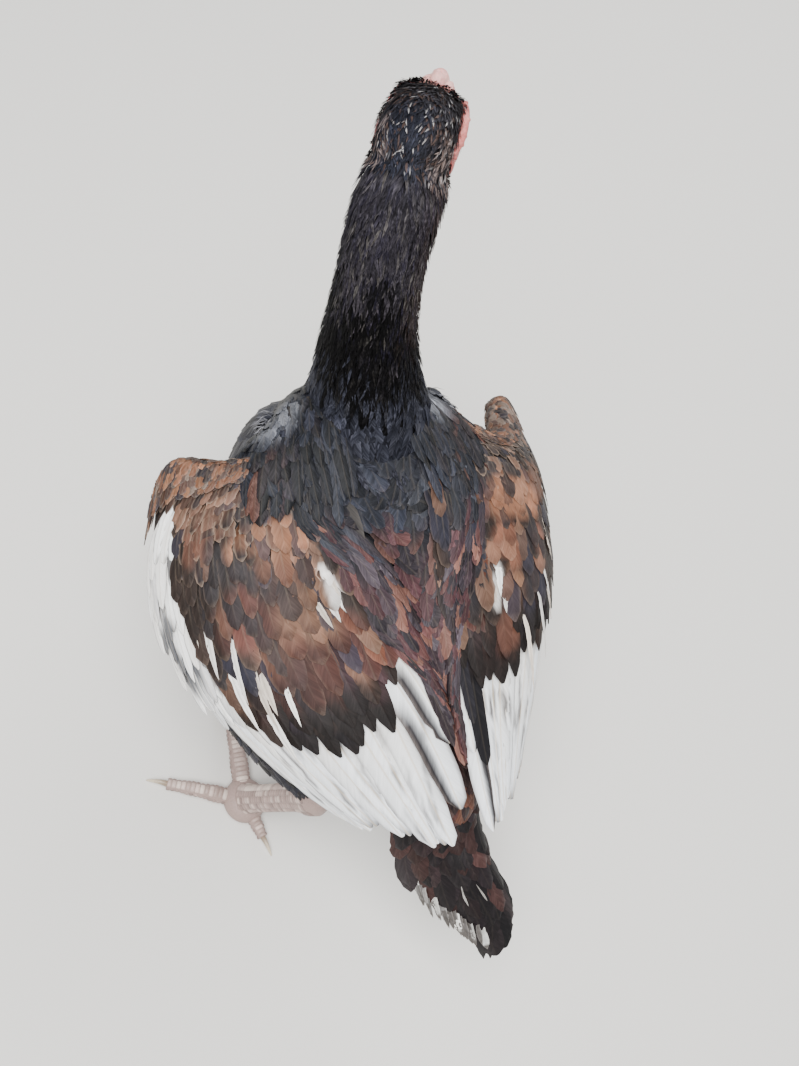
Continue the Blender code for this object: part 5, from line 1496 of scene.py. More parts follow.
def arm_rings(sheet):
    """The arm under the small feathers, a thick lens at the leading edge that thins to its end.

    Its rings run from front to back, one beside the other across the wing, so that the notch stays open.
    """
    t = np.linspace(0.0, 1.0, 33)
    across = np.linspace(0.0, 1.0, 25)
    body = np.minimum(1.0, WING_CORE_FRONT[0] + WING_CORE_FRONT[1] * t)
    body = body * (1.0 - WING_CORE_THINNING[0] * t ** WING_CORE_THINNING[1])
    lens = WING_CORE_RIM + (1.0 - WING_CORE_RIM) * np.sqrt(np.maximum(1.0 - (2 * across - 1) ** 2, 0.0))
    along = WING_CORE_END * t**WING_CORE_SPACING
    a, c = np.meshgrid(along, across, indexing="ij")
    top = sheet.at(a, c, 0.92 * WING_CORE_TOP * body[:, None] * lens)
    under = sheet.at(a, c, -0.80 * WING_CORE_UNDER * body[:, None] * lens)
    return np.concatenate([top, under[::-1]], axis=0).transpose(1, 0, 2)


def covert_row(wing, rng, line, back, length, span, half, heights, mesh, colour,
               drift=0.7, lean=0.09, pack=1.42, **more):
    """A row of coverts whose tips lie a given way back from the line where the coverts end."""
    room = float(wing.sheet.width(np.array([max(0.74 - back, 0.0)]))[0]) * (span[1] - span[0])
    count = max(3, int(room / (half * pack)))
    tips = line_up(count, span[0], span[1], 0.013, rng)
    fade = 1.0 - back / 0.76
    end = 0.76 + (along_profile(line, tips) - 0.76) * max(fade, 0.0) - back
    end = end + rng.normal(0.0, 0.011, count)
    long = length * rng.uniform(0.90, 1.10, count)
    start = np.maximum(end - long, rng.uniform(-0.012, 0.004, count))
    roots = np.stack([start, tips - drift * np.clip(tips, -0.1, 0.8) * long], axis=1)
    wing.add(roots, np.stack([end, tips], axis=1), half * rng.uniform(0.9, 1.12, count), heights, lean,
             ROUND_VANE, mesh[0], mesh[1], colour, **more)


def listed_feathers(wing, rows, half, heights, outline, mesh, colour, lean=0.12, **more):
    """Single feathers, each given by along and across at its root and at its tip."""
    rows = np.asarray(rows, float)
    wing.add(rows[:, :2], rows[:, 2:], half, heights, lean, outline, mesh[0], mesh[1], colour, **more)


def make_wing(side):
    label = "left" if side > 0 else "right"
    marks = LEFT_MARKS if side > 0 else RIGHT_MARKS
    line = LEFT_LINE if side > 0 else RIGHT_LINE
    sheet = wing_sheet(side)
    rng = dice(11 + side)
    wing = WingFeathers(sheet, 31 + side)
    white = flight_colour(0.0, 0.36, 8)
    sweep = FLIGHT_SWEEP[side]
    wing_tier(wing, rng, 10, (0.16, 1.00, 0.93), (0.70, 0.94, 0.50 - sweep, 0.95 if side > 0 else 0.64), 0.0058,
              (-0.0050, -0.0080, -0.0066), 0.12, FLIGHT_VANE, (32, 11), white, jitter=0.009, camber=0.14, ragged=0.03)
    wing_tier(wing, rng, 13, (0.36, 1.00, 0.955), (0.04, 0.80, 0.08 - sweep, 0.85 - sweep), 0.0068,
              (-0.0010, 0.0002, 0.0004), 0.12, FLIGHT_VANE, (32, 11), white, jitter=0.009, camber=0.14, ragged=0.03)
    striped = flight_colour(1.0, 0.60, 1)
    if side > 0:
        listed_feathers(wing, ((0.40, 0.08, 0.94, -0.13), (0.36, 0.02, 0.82, -0.19)), (0.0078, 0.0078),
                        ((0.0, 0.0012, 0.0016), (0.0, 0.0020, 0.0026)), FLIGHT_VANE, (28, 9), striped, ragged=0.05)
        pale = primary_covert_colour
        for end, length, low, high, top in (
            (0.66, 0.26, 0.64, 0.90, 0.0006), (0.58, 0.26, 0.62, 0.99, 0.0016), (0.50, 0.24, 0.64, 1.0, 0.0026),
            (0.42, 0.22, 0.66, 1.0, 0.0034), (0.34, 0.20, 0.66, 0.99, 0.0040), (0.26, 0.16, 0.66, 0.94, 0.0044),
        ):
            covert_row(wing, rng, ((0.0, end + 0.02), (1.0, end - 0.02)), 0.0, length, (low, high), 0.0046,
                       (0.0, top, top + 0.0006), (16, 9), pale, lean=0.10, pack=0.80, ragged=0.14)
        dull = plain_colour(("#3a3a3d", "#2b2a2d", "#54565a"), 0.2, None, 0.1)
        listed_feathers(wing, ((0.36, 0.92, 0.47, 1.02), (0.42, 0.92, 0.53, 1.03), (0.47, 0.92, 0.58, 1.04),
                               (0.40, 0.95, 0.50, 1.05), (0.45, 0.95, 0.55, 1.06)),
                        0.0034, (-0.0060, -0.0085, -0.0095), ROUND_VANE, (12, 7), dull, ragged=0.30)
        span = (0.0, 0.66)
    else:
        listed_feathers(wing, ((0.40, 0.06, 0.99, -0.30), (0.36, 0.00, 0.85, -0.24)), (0.0070, 0.0070),
                        ((0.0, 0.0012, 0.0016), (0.0, 0.0020, 0.0026)), FLIGHT_VANE, (28, 9), striped, ragged=0.05)
        black = plain_colour(("#131114", "#1c1a1e"), 0.1, None, 0.0, 0.02)
        listed_feathers(wing, ((0.56, -0.08, 0.88, -0.15), (0.50, -0.14, 0.80, -0.19)), (0.0046, 0.0030),
                        ((0.0, 0.0034, 0.0036), (0.0, 0.0036, 0.0038)), FLIGHT_VANE, (24, 9), black, ragged=0.03)
        span = (-0.16, 0.98)
    tips = covert_colour(marks, 0.92, 0.0, 0.02, 0.78)
    middle = covert_colour(marks, 0.30, 0.12, 0.03)
    small = covert_colour(marks, 0.15, 0.45, 0.045)
    covert_row(wing, rng, line, -0.012, 0.40, span, 0.0060, (0.0, 0.0026, 0.0034), (16, 9), tips, pack=0.95,
               ragged=0.14)
    covert_row(wing, rng, line, 0.035, 0.34, span, 0.0060, (0.0, 0.0036, 0.0046), (14, 9), tips, pack=1.15,
               ragged=0.14)
    for row, (back, length, half) in enumerate((
        (0.10, 0.26, 0.0058), (0.145, 0.22, 0.0056), (0.19, 0.20, 0.0054), (0.235, 0.18, 0.0052),
        (0.28, 0.17, 0.0049), (0.32, 0.16, 0.0047), (0.36, 0.15, 0.0045), (0.395, 0.14, 0.0043),
    )):
        covert_row(wing, rng, line, back, length, span, half, (0.0016, 0.0046 + 0.0002 * row, 0.0056 + 0.0002 * row),
                   (12, 7), middle, ragged=0.20)
    for row in range(11):
        back = 0.425 + 0.033 * row
        wide = (0.0, 0.99) if side < 0 or row > 5 else (0.0, 0.64)
        top = 0.0070 - 0.0004 * row
        covert_row(wing, rng, line, back, 0.105 - 0.004 * row, wide, 0.0037 - 0.00012 * row,
                   (0.0016, top - 0.0010, top), (9, 5), small, drift=0.5, lean=0.02, ragged=0.24)
    for root, low, tip in ((-0.020, -0.0085, 0.012), (-0.014, -0.0050, 0.030), (-0.006, -0.0020, 0.052)):
        wing_tier(wing, rng, 30, (root, tip, tip), (-0.02, 1.0, -0.01, 1.0), 0.0030,
                  (low, 0.0010 + low * 0.25, 0.0030), 0.0, ROUND_VANE, (9, 5), small, jitter=0.014, ragged=0.24)
    listed_feathers(wing, STREAKS[side], rng.uniform(0.0012, 0.0020, len(STREAKS[side])), (0.0, 0.0054, 0.0063),
                    SPEAR_VANE, (22, 9), plain_colour(("#e9e6e0", "#dcd8d2", "#cbbfb2"), 0.12, None, 0.45), lean=0.05,
                    ragged=0.12)
    add_under_coverts(wing, rng)
    add_scapulars(wing, rng, side)
    piece = wing.build(f"wing_feathers_{label}", feather_material(f"wing vane {label}", 0.55, 1.0, 0.22, 0.12))
    place_piece(piece, "wing_feather", f"wing_{label}")
    rings = arm_rings(sheet)
    arm = Bag()
    arm.add_closed(rings, (*linear("#2a211d"), 0.0), (0.01, 0.01), 0.98)
    flesh = skin_material(f"wing skin {label}", linear("#3b2f28"), (0.53, 0.53, 0.58), 0.8, 1.2, 0.2, 0.0)
    place_piece(arm.build(f"wing_arm_{label}", flesh), "wing_feather")


def add_under_coverts(wing, rng):
    """Grey-brown lining feathers on the wing's lower side."""
    lining = plain_colour(("#4a3b33", "#5e4c42", "#39302c"), 0.2, None, 0.3)
    for row in range(5):
        t = row / 4
        start = 0.42 - 0.42 * t
        wing_tier(wing, rng, 16, (start - 0.02, start + 0.20, start + 0.18), (0.0, 1.0, 0.0, 0.98), 0.0062,
                  (-0.0074 + 0.002 * t, -0.0088 + 0.003 * t, -0.0082 + 0.003 * t), -0.08, ROUND_VANE, (9, 5),
                  lining, jitter=0.012, camber=-0.05, flip=True)


def add_scapulars(wing, rng, side):
    """Broad feathers over the joint of wing and back, lying over both."""
    dark = plain_colour(("#1f2027", "#26272f", "#191a20", "#2b2826"), 0.2, None, 0.04)
    warm = plain_colour(("#4a2a24", "#3a231f", "#5c3526", "#2b2022"), 0.2, None, 0.04)
    for row in range(9):
        t = row / 8
        end = 0.62 - 0.56 * t
        colour = warm if end > 0.40 else dark
        wing_tier(wing, rng, 5, (end - 0.20, end, end + 0.01), (-0.10, 0.06, -0.12, 0.08), 0.0062,
                  (-0.0010, 0.0042, 0.0050), 0.05, ROUND_VANE, (12, 7), colour, jitter=0.018, ragged=0.10)


def mantle_colour(along, across, shares, q, rng, n):
    """Slate-black mantle that turns maroon and chestnut brown towards the rump."""
    whole = np.ones_like(along)
    pick = rng.random(n)
    dark = hexes("#17181e", "#20222a", "#131419", "#2a2c33")[(pick * 4).astype(int)]
    warm = hexes("#41282b", "#503230", "#2a2024", "#64443b", "#221c21", "#362f34")[(pick * 6).astype(int)]
    slip = rng.normal(0.0, 0.06, n)[:, None, None]
    rear = ramp(along + slip - 0.10 * np.abs(across - 0.5), 0.30, 0.48)
    base = mix(dark[:, None, None, :] * whole[..., None], warm[:, None, None, :], rear)
    base = base * np.exp(rng.normal(0.0, 0.28, n))[:, None, None, None]
    # Painted shade: each feather darker towards its covered root and in its middle, paler at edge and tip
    edge = np.abs(q) ** 2 * 0.25 + shares**3 * 0.20
    base = base * (0.85 + edge * whole)[..., None]
    rim = np.maximum(ramp(np.abs(q), 0.8, 1.0), ramp(shares, 0.93, 1.0)) * whole
    base = mix(base, linear("#8a7f78"), rim * 0.05)
    return with_shaft(base, 0.02 + 0.04 * rear * (1.0 - shares))


def make_mantle():
    """Feathers over the back, from the base of the neck to the root of the tail."""
    rng = dice(71)
    mantle = WingFeathers(back_sheet(), 72)
    for row in range(30):
        t = row / 29
        end = 0.98 - 0.90 * t
        count = int(15 - 5 * (1.0 - t))
        wing_tier(mantle, rng, count, (end - 0.14, end, end), (0.02, 0.98, 0.02, 0.98), 0.0056 - 0.0012 * (1.0 - t),
                  (-0.0012, 0.0004, 0.0014), 0.0, ROUND_VANE, (12, 7), mantle_colour,
                  jitter=0.035, camber=0.08, ragged=0.22)
    piece = mantle.build("mantle_feathers", feather_material("mantle vane", 0.55, 0.9, 0.35, 0.18))
    place_piece(piece, "body_feather")


def shoulder_sheet(side, rows=41, columns=31):
    """The rounded shoulder, from the breast up over the front of the wing's joint and on to the back."""
    wing = wing_sheet(side)
    end = SHOULDER_END[side]
    spots = np.linspace(-0.16, end, columns)
    outer = ramp(spots, end - 0.14, end)
    lines = []
    for along, height in SHOULDER_ROWS:
        lines.append(wing.at(np.full(columns, along + 0.04 * outer), spots, height - 0.005 * outer))
    return Sheet(curve(np.stack(lines), np.linspace(0.0, 1.0, rows)))


def shoulder_colour(side):
    """Slate and black feathers, some pale grey on the shoulder's top, partly painted sheen and partly the grey-white
    of the down, some brown towards the wing.
    """

    def colour(along, across, shares, q, rng, n):
        whole = np.ones_like(along)
        pick = (rng.random(n) * 5).astype(int)
        base = hexes("#14151a", "#1c1e25", "#0f1013", "#24252d", "#1a181c")[pick][:, None, None, :] * whole[..., None]
        base = base * np.exp(rng.normal(0.0, 0.30, n))[:, None, None, None]
        if side > 0:
            brown = ramp(across, 0.45, 0.9) * ramp(along, 0.55, 0.8)
        else:
            brown = ramp(across + along, 1.15, 1.5) * 0.8
        own = rng.random((n, 1, 1)) < 0.40
        warm = hexes("#4a3029", "#5a3a30", "#241c1e")[pick % 3][:, None, None, :]
        base = mix(base, warm, brown * own * 0.85 * whole)
        # Pale grey on the shoulder's top: painted sheen, and partly the grey-white of the down
        place = (0.38, 0.60, 0.22, 0.32) if side > 0 else (0.50, 0.42, 0.24, 0.34)
        far = np.hypot((along - place[0]) / place[2], (across - place[1]) / place[3])
        pale = (1.0 - ramp(far, 0.4, 1.2)) * (rng.random((n, 1, 1)) < 0.85) * rng.uniform(0.08, 0.52, (n, 1, 1))
        base = mix(base, linear("#a3a5ad"), pale * whole)
        return with_shaft(base * (0.85 + 0.3 * np.abs(q) ** 2 * whole)[..., None], 0.02 * whole)

    return colour


def wrist_sheet(side, rows=41, columns=41):
    wing = wing_sheet(side)
    spots = np.linspace(*WRIST_SPAN[side], columns)
    lines = [wing.at(np.full(columns, along), spots, np.full(columns, height)) for along, height in WRIST_ROWS]
    return Sheet(curve(np.stack(lines), np.linspace(0.0, 1.0, rows)))


def make_wrists():
    """Small brown-grey coverts that wrap round the front of both wings."""
    brown = plain_colour(("#42302a", "#563b2e", "#2e2625", "#6a4735", "#4a3a34", "#77523c", "#2a2428", "#6a5a50"),
                         0.32, None, 0.12, 0.04)
    for side, label in ((1, "left"), (-1, "right")):
        rng = dice(101 + side)
        cape = WingFeathers(wrist_sheet(side), 103 + side)
        for row in range(15):
            end = 1.0 - 0.05 * row
            wing_tier(cape, rng, 26, (end - 0.26, end, end), (0.0, 1.0, 0.0, 1.0), 0.0028,
                      (-0.0014, 0.0002, 0.0006), 0.0, ROUND_VANE, (10, 5), brown, jitter=0.022, camber=0.10,
                      ragged=0.24)
        piece = cape.build(f"wrist_feathers_{label}", feather_material(f"wrist vane {label}", 0.55, 0.8, 0.35, 0.14))
        place_piece(piece, "wing_feather")


def make_shoulders():
    """Slate contour feathers that round both shoulders and close the front of the wings."""
    for side, label in ((1, "left"), (-1, "right")):
        rng = dice(91 + side)
        cape = WingFeathers(shoulder_sheet(side), 93 + side)
        for row in range(16):
            end = 1.0 - 0.052 * row
            wing_tier(cape, rng, 10, (end - 0.30, end, end), (0.0, 1.0, 0.0, 1.0), 0.0042,
                      (-0.0020, 0.0006, 0.0014), 0.0, ROUND_VANE, (12, 7), shoulder_colour(side),
                      jitter=0.04, camber=0.10, ragged=0.30)
        piece = cape.build(f"shoulder_feathers_{label}",
                           feather_material(f"shoulder vane {label}", 0.55, 0.9, 0.45, 0.18))
        place_piece(piece, "body_feather")


def down_wisps():
    """Loose grey-white down at both shoulders, where the contour feathers part."""
    rng = dice(81)
    bag = Bag()
    form = outside()
    for centre, count, spread in (((-0.036, -0.096, 0.228), 150, 0.009), ((0.044, -0.102, 0.224), 90, 0.008)):
        spots = np.asarray(centre) + rng.normal(0.0, spread, (count, 3)) * np.array((1.0, 1.0, 0.5))
        roots, normals = form.nearest(spots)
        n = len(roots)
        rise = np.tile((-0.0015, 0.0007, 0.0014), (n, 1)) * rng.uniform(0.5, 1.3, n)[:, None]
        lay_on_skin(bag, roots, normals, rng.uniform(0.004, 0.008, n), np.full(n, 0.00035), rise, HACKLE_VANE,
                    6, 3, 82, down_colour, swing=0.8, curl=0.0008, camber=0.0, ragged=0.4, follow=0.3)
    return place_piece(bag.build("shoulder_down", feather_material("down", 0.75, 0.8, 0.15, 0.05)), "body_feather")


def make_tail():
    sheet = tail_sheet()
    rng = dice(7)
    tail = WingFeathers(sheet, 8)
    black = plain_colour(("#110e0f", "#171213", "#0e0c0d", "#1d1516"), 0.2, None, 0.0, 0.008, 0.1)
    ragged_white = plain_colour(("#7d7a78", "#c0bdb8", "#55514f"), 0.25, "#4a4644", 0.3)
    for side, ends in ((1, TAIL_LEFT), (-1, TAIL_RIGHT)):
        for index, (tip, place) in enumerate(ends):
            root = 0.5 - side * (6 - index) * 0.062
            colour = ragged_white if side > 0 and index in (1, 2, 4) else black
            lift = 0.0001 + index * 0.0002
            tail.add([(0.10, root)], [(tip + rng.normal(0, 0.006), place)], 0.0074, (0.0, lift, lift), -side * 0.14,
                     FLIGHT_VANE, 24, 9, colour, ragged=0.10)
    tail.add([(0.08, 0.52), (0.10, 0.58)], [(0.95, 0.46), (0.93, 0.62)], 0.0080,
             [(0.0, 0.0026, 0.0026), (0.0, 0.0020, 0.0020)], 0.0, FLIGHT_VANE, 26, 9, black, ragged=0.10, bow=0.04)
    tail.add([(0.30, 0.56), (0.34, 0.62)], [(0.99, 0.24), (0.97, 0.36)], 0.0052,
             [(0.0, 0.0030, 0.0022), (0.0, 0.0026, 0.0020)], 0.0, SPEAR_VANE, 26, 9, black, ragged=0.16, bow=0.13)
    chest = plain_colour(("#1d1415", "#151112", "#2c1c1a", "#191315"), 0.30, None, 0.0, 0.008, 0.1)
    for row, (root, tip, count, left) in enumerate((
        (0.20, 0.72, 5, 0.44), (0.16, 0.62, 6, 0.34), (0.12, 0.53, 7, 0.22), (0.08, 0.45, 8, 0.13),
        (0.02, 0.37, 9, 0.12), (-0.04, 0.28, 9, 0.12), (-0.10, 0.18, 9, 0.12),
    )):
        wing_tier(tail, rng, count, (root, tip, tip), (left + 0.04, 0.84, left, 0.82), 0.0062,
                  (0.0010, 0.0030 + 0.0006 * row, 0.0036 + 0.0007 * row), 0.0, ROUND_VANE, (14, 7), chest,
                  jitter=0.035, camber=0.10, ragged=0.16)
        wing_tier(tail, rng, count, (root, tip - 0.07, tip - 0.07), (left + 0.02, 0.88, left + 0.02, 0.86), 0.0066,
                  (-0.0030, -0.0030 - 0.0004 * row, -0.0036 - 0.0005 * row), 0.0, ROUND_VANE, (12, 5), chest,
                  jitter=0.03, camber=-0.10, flip=True, ragged=0.14)
    rows = []
    for step in range(20):
        t = step / 19
        place = 0.10 + 0.32 * t + 0.05 * rng.random() - 0.02
        end = 0.50 + 0.34 * t + rng.normal(0.0, 0.012)
        rows.append((end - 0.16, place + 0.05, end, place))
    listed_feathers(tail, rows, rng.uniform(0.0010, 0.0020, 20), (0.0, 0.0054, 0.0058), SPEAR_VANE, (20, 7),
                    ragged_white, ragged=0.06)
    listed_feathers(tail, ((0.46, 0.50, 0.54, 0.50), (0.49, 0.62, 0.56, 0.63)),
                    0.0004, (0.004, 0.0096, 0.0096), SPEAR_VANE, (10, 5), plain_colour(("#8f8b86",), 0.1))
    piece = tail.build("tail_feathers", feather_material("tail vane", 0.48, 1.0, 0.25, 0.14))
    place_piece(piece, "tail_feather", "tail")


def skin_piece():
    """One skin under all the plumage, bare on the face, drawn in from the outside by the coat's depth."""
    form = outside()
    points = form.points - form.normals * coat_depth(form.points)[:, None]
    faces = np.array([tuple(face.vertices) if len(face.vertices) == 4
                      else (*face.vertices, face.vertices[-1]) for face in form.mesh.polygons])
    places, _ = skin_patch(form.points)
    # Under the plumage the skin takes the plumage's colour a quarter darker: the dark of the feather bases, and
    # painted shade in the gaps between the feathers
    dark = body_colour(form.points) * 0.75
    bare = region_shares(form.points)[0] * bare_share(head_local(form.points))
    colour = mix(dark, linear("#c4716a"), bare)
    tint = np.concatenate([colour, np.zeros((len(points), 1))], axis=1)
    material = tinted_material("feathered skin", 0.75, 1.2, 0.25, 0.25)
    piece = mesh_piece("skin", points + SHIFT, faces, material, places, places, tint)
    return place_piece(piece, "bare_skin", "torso", "neck", "head", "thigh_left", "thigh_right")


def body_feathers():
    """Contour feathers of torso and thighs."""
    def on_body(points):
        head, neck, torso, left, right = region_shares(points)
        return (head < 0.4) & (neck < 0.75)
    samples, normals = surface_samples(60000, 21, on_body)
    head, neck, torso, left, right = region_shares(samples)
    thighs = np.maximum(left, right)
    rear = ramp(samples[:, 1], 0.0, 0.05)
    spacing = 0.0060 - 0.0012 * thighs - 0.0008 * rear - 0.0010 * neck
    chosen = scatter(samples, normals, spacing * settings().spacing, 22)
    roots, up = samples[chosen], normals[chosen]
    thighs, neck, rear = thighs[chosen], neck[chosen], rear[chosen]
    hock = np.minimum(*[np.linalg.norm(roots - np.asarray(LEGS[s]["hock"]), axis=1) for s in (1, -1)])
    near_hock = 1.0 - ramp(hock, 0.006, 0.035)
    length = 0.021 - 0.005 * thighs - 0.003 * neck
    length = length * (1.0 - 0.6 * near_hock)
    half = (0.0075 - 0.0028 * thighs - 0.0018 * rear - 0.0020 * neck) * (1.0 - 0.5 * near_hock)
    rise = np.stack([-0.0030 + 0.0015 * near_hock, np.full(len(roots), -0.0008), np.full(len(roots), 0.0004)], axis=1)
    bag = Bag()
    lay_on_skin(bag, roots, up, length, half, rise, ROUND_VANE, 7, 5, 23, coat_colour)
    return place_piece(bag.build("body_feathers", feather_material("body vane", 0.52, 1.0, 0.35, 0.20)),
                       "body_feather")


def neck_feathers():
    def on_neck(points):
        head, neck, torso, left, right = region_shares(points)
        return (neck > 0.35) & (head < 0.75)
    samples, normals = surface_samples(40000, 31, on_neck)
    head, neck = region_shares(samples)[:2]
    low = 1.0 - ramp(samples[:, 2], 0.256, 0.270)
    chosen = scatter(samples, normals, (0.00145 + 0.0020 * low - 0.00035 * head) * settings().spacing, 32)
    roots, up = samples[chosen], normals[chosen]
    low, head = low[chosen], head[chosen]
    bag = Bag()
    collar = (1.0 - ramp(roots[:, 2], 0.234, 0.260)) * ramp(roots[:, 1], -0.112, -0.088)
    rise = np.tile((-0.0022, -0.0004, 0.0005), (len(roots), 1))
    rise[:, 1] += 0.0056 * collar
    rise[:, 2] += 0.0096 * collar
    lay_on_skin(bag, roots, up, 0.0140 + 0.012 * low - 0.005 * head, 0.0010 + 0.0022 * low - 0.0002 * head,
                rise, HACKLE_VANE, 7, 3, 33, hackle_colour, swing=0.22, curl=0.0010, ragged=0.4)
    return place_piece(bag.build("neck_feathers", feather_material("neck hackle", 0.60, 0.7, 0.55, 0.12, 0.05)),
                       "neck_feather")


def head_feathers():
    def on_head_form(points):
        share = region_shares(points)[0]
        return (share > 0.25) & (bare_share(head_local(points)) < 0.5)
    samples, normals = surface_samples(60000, 41, on_head_form)
    local = head_local(samples)
    crown = ramp(local[:, 0], -0.010, 0.010)
    chosen = scatter(samples, normals, (0.00092 - 0.00016 * crown) * settings().spacing, 42)
    roots, up = samples[chosen], normals[chosen]
    crown = crown[chosen]
    bag = Bag()
    rise = np.tile((-0.0007, 0.0, 0.00035), (len(roots), 1))
    lay_on_skin(bag, roots, up, 0.0058 - 0.0024 * crown, 0.00050 - 0.00008 * crown, rise, HACKLE_VANE, 5, 3, 43,
                head_colour, swing=0.45, curl=0.0011)
    return place_piece(bag.build("head_feathers", feather_material("head feather", 0.65, 0.8, 0.30, 0.10, 0.08)),
                       "head_feather")


def bent_roll(path, radii, count, sides):
    rows = [(*point, radius) for point, radius in zip(path, radii)]
    guide = unit(np.cross(np.subtract(path[-1], path[0]), (0.31, 0.17, 0.93)))
    return path_rings(rows, count, sides, guide)


def remeshed(name, forms, voxel, material, smooth_steps=3):
    """Closed forms grown together into one smooth piece."""
    whole = form_mesh(name, forms)
    remesh = whole.modifiers.new("remesh", "REMESH")
    remesh.mode = "VOXEL"
    remesh.voxel_size = voxel
    smooth = whole.modifiers.new("smooth", "SMOOTH")
    smooth.factor = 0.5
    smooth.iterations = smooth_steps
    mesh = plain_mesh(whole)
    mesh.transform(Matrix.Translation(Vector(SHIFT)))
    mesh.name = name
    mesh.materials.clear()
    mesh.materials.append(material)
    mesh.shade_smooth()
    piece = bpy.data.objects.new(name, mesh)
    bpy.context.scene.collection.objects.link(piece)
    return piece


def make_comb():
    """Pea comb: three ridges of soft warty lobes, the middle one tallest."""
    rng = dice(51)
    axes = head_axes()
    forms = []
    for place, height, radius in COMB_ROWS:
        for index in range(6):
            t = (index + 0.5) / 6
            bulge = math.sin(math.pi * (0.08 + 0.84 * t)) ** 0.5
            size = radius * (0.50 + 0.50 * bulge)
            forward = COMB_SPAN[0] + (COMB_SPAN[1] - COMB_SPAN[0]) * t
            centre = on_head(forward, place, height - COMB_FALL * t**2 - 0.0004)
            forms.append(loft(ball_rings(centre, (size * 0.72, size * 0.85, size * 1.05), axes, 14, 18)))
            for _ in range(7):
                bump = unit(rng.normal(size=3)) * np.array((0.72, 0.85, 1.0)) * size
                spot = centre + sum(axes[k] * bump[k] for k in range(3)) * 0.86
                forms.append(loft(ball_rings(spot, (0.0010, 0.0010, 0.0010), axes, 8, 10)))
    material = skin_material("comb skin", settings().comb, (0.74, 0.54, 0.58), 0.55, 1.0, 0.22, 0.12)
    return place_piece(remeshed("comb_lobes", forms, 0.00045, material), "comb_skin", "comb")


def eye_axes(side):
    """The eye's own forward, up and outward directions, square to the skin around it."""
    axes = head_axes()
    out = axes[1] * side * math.cos(EYE_TILT) + axes[0] * math.sin(EYE_TILT)
    return np.cross(out, axes[2]) * side, axes[2], out


def make_face():
    """Lids, brow folds, ear rims, ear lobes and wattles of bare skin."""
    material = skin_material("face skin", settings().face, (0.63, 0.38, 0.385), 0.50, 0.9, 0.20, 0.10)
    forms = []
    form = outside()
    rng = dice(52)
    for side in (1, -1):
        centre = on_head(EYE_PLACE[0], side * EYE_PLACE[1], EYE_PLACE[2])
        ahead, above, out = eye_axes(side)
        for sign, tall in ((1.0, 0.84), (-1.0, 0.88)):
            for reach, rise, thick in LIDS:
                angles = np.linspace(-0.04 * math.pi, 1.04 * math.pi, 14)
                path = (centre + out * 0.0052 + np.multiply.outer(np.cos(angles) * reach, ahead)
                        + np.multiply.outer(sign * np.sin(angles) * reach * tall, above))
                path, normals = form.nearest(path)
                path = path + normals * rise
                radii = thick * (0.80 + 0.35 * np.sin(angles))
                forms.append(loft(bent_roll(path, radii, 34, 10)))
        # The left ridge lies flatter, as the picture shows nothing of it past the crown
        flat = 0.78 if side > 0 else 1.0
        ridge = [on_head(f, side * l * flat, u) for f, l, u in FACE_RIDGE]
        forms.append(loft(bent_roll(ridge, (0.0012, 0.0021, 0.0022, 0.0020, 0.0014), 30, 14)))
        for spot in curve(ridge, rng.random(48)):
            wart = spot + unit(rng.normal(size=3)) * 0.0019
            forms.append(loft(ball_rings(wart, np.full(3, rng.uniform(0.0006, 0.0011)), np.eye(3), 8, 10)))
        forms.append(loft(side_ball(side, (-0.0030, 0.0132 * (0.5 + flat / 2), -0.0085), (0.0095, 0.0058, 0.0036))))
        ear = []
        for a in np.linspace(0.0, 2 * math.pi, 17):
            ear.append(on_head(EAR_PLACE[0] + math.cos(a) * 0.0028, side * (EAR_PLACE[1] + 0.0002),
                               EAR_PLACE[2] + math.sin(a) * 0.0032))
        forms.append(loft(bent_roll(ear[:-3], np.full(14, 0.0006), 30, 8)))
    piece = remeshed("face_folds", forms, 0.00040, material, 3)
    place_piece(piece, "bare_skin")
    lobes, flaps = [], []
    for side, label in ((1, "left"), (-1, "right")):
        lobe = [loft(side_ball(side, *EARLOBE))]
        flap = [loft(side_ball(side, *WATTLE))]
        place_piece(remeshed(f"ear_lobe_{label}", lobe, 0.0004, material), "bare_skin", f"earlobe_{label}")
        place_piece(remeshed(f"wattle_skin_{label}", flap, 0.0004, material), "bare_skin", f"wattle_{label}")
    return piece


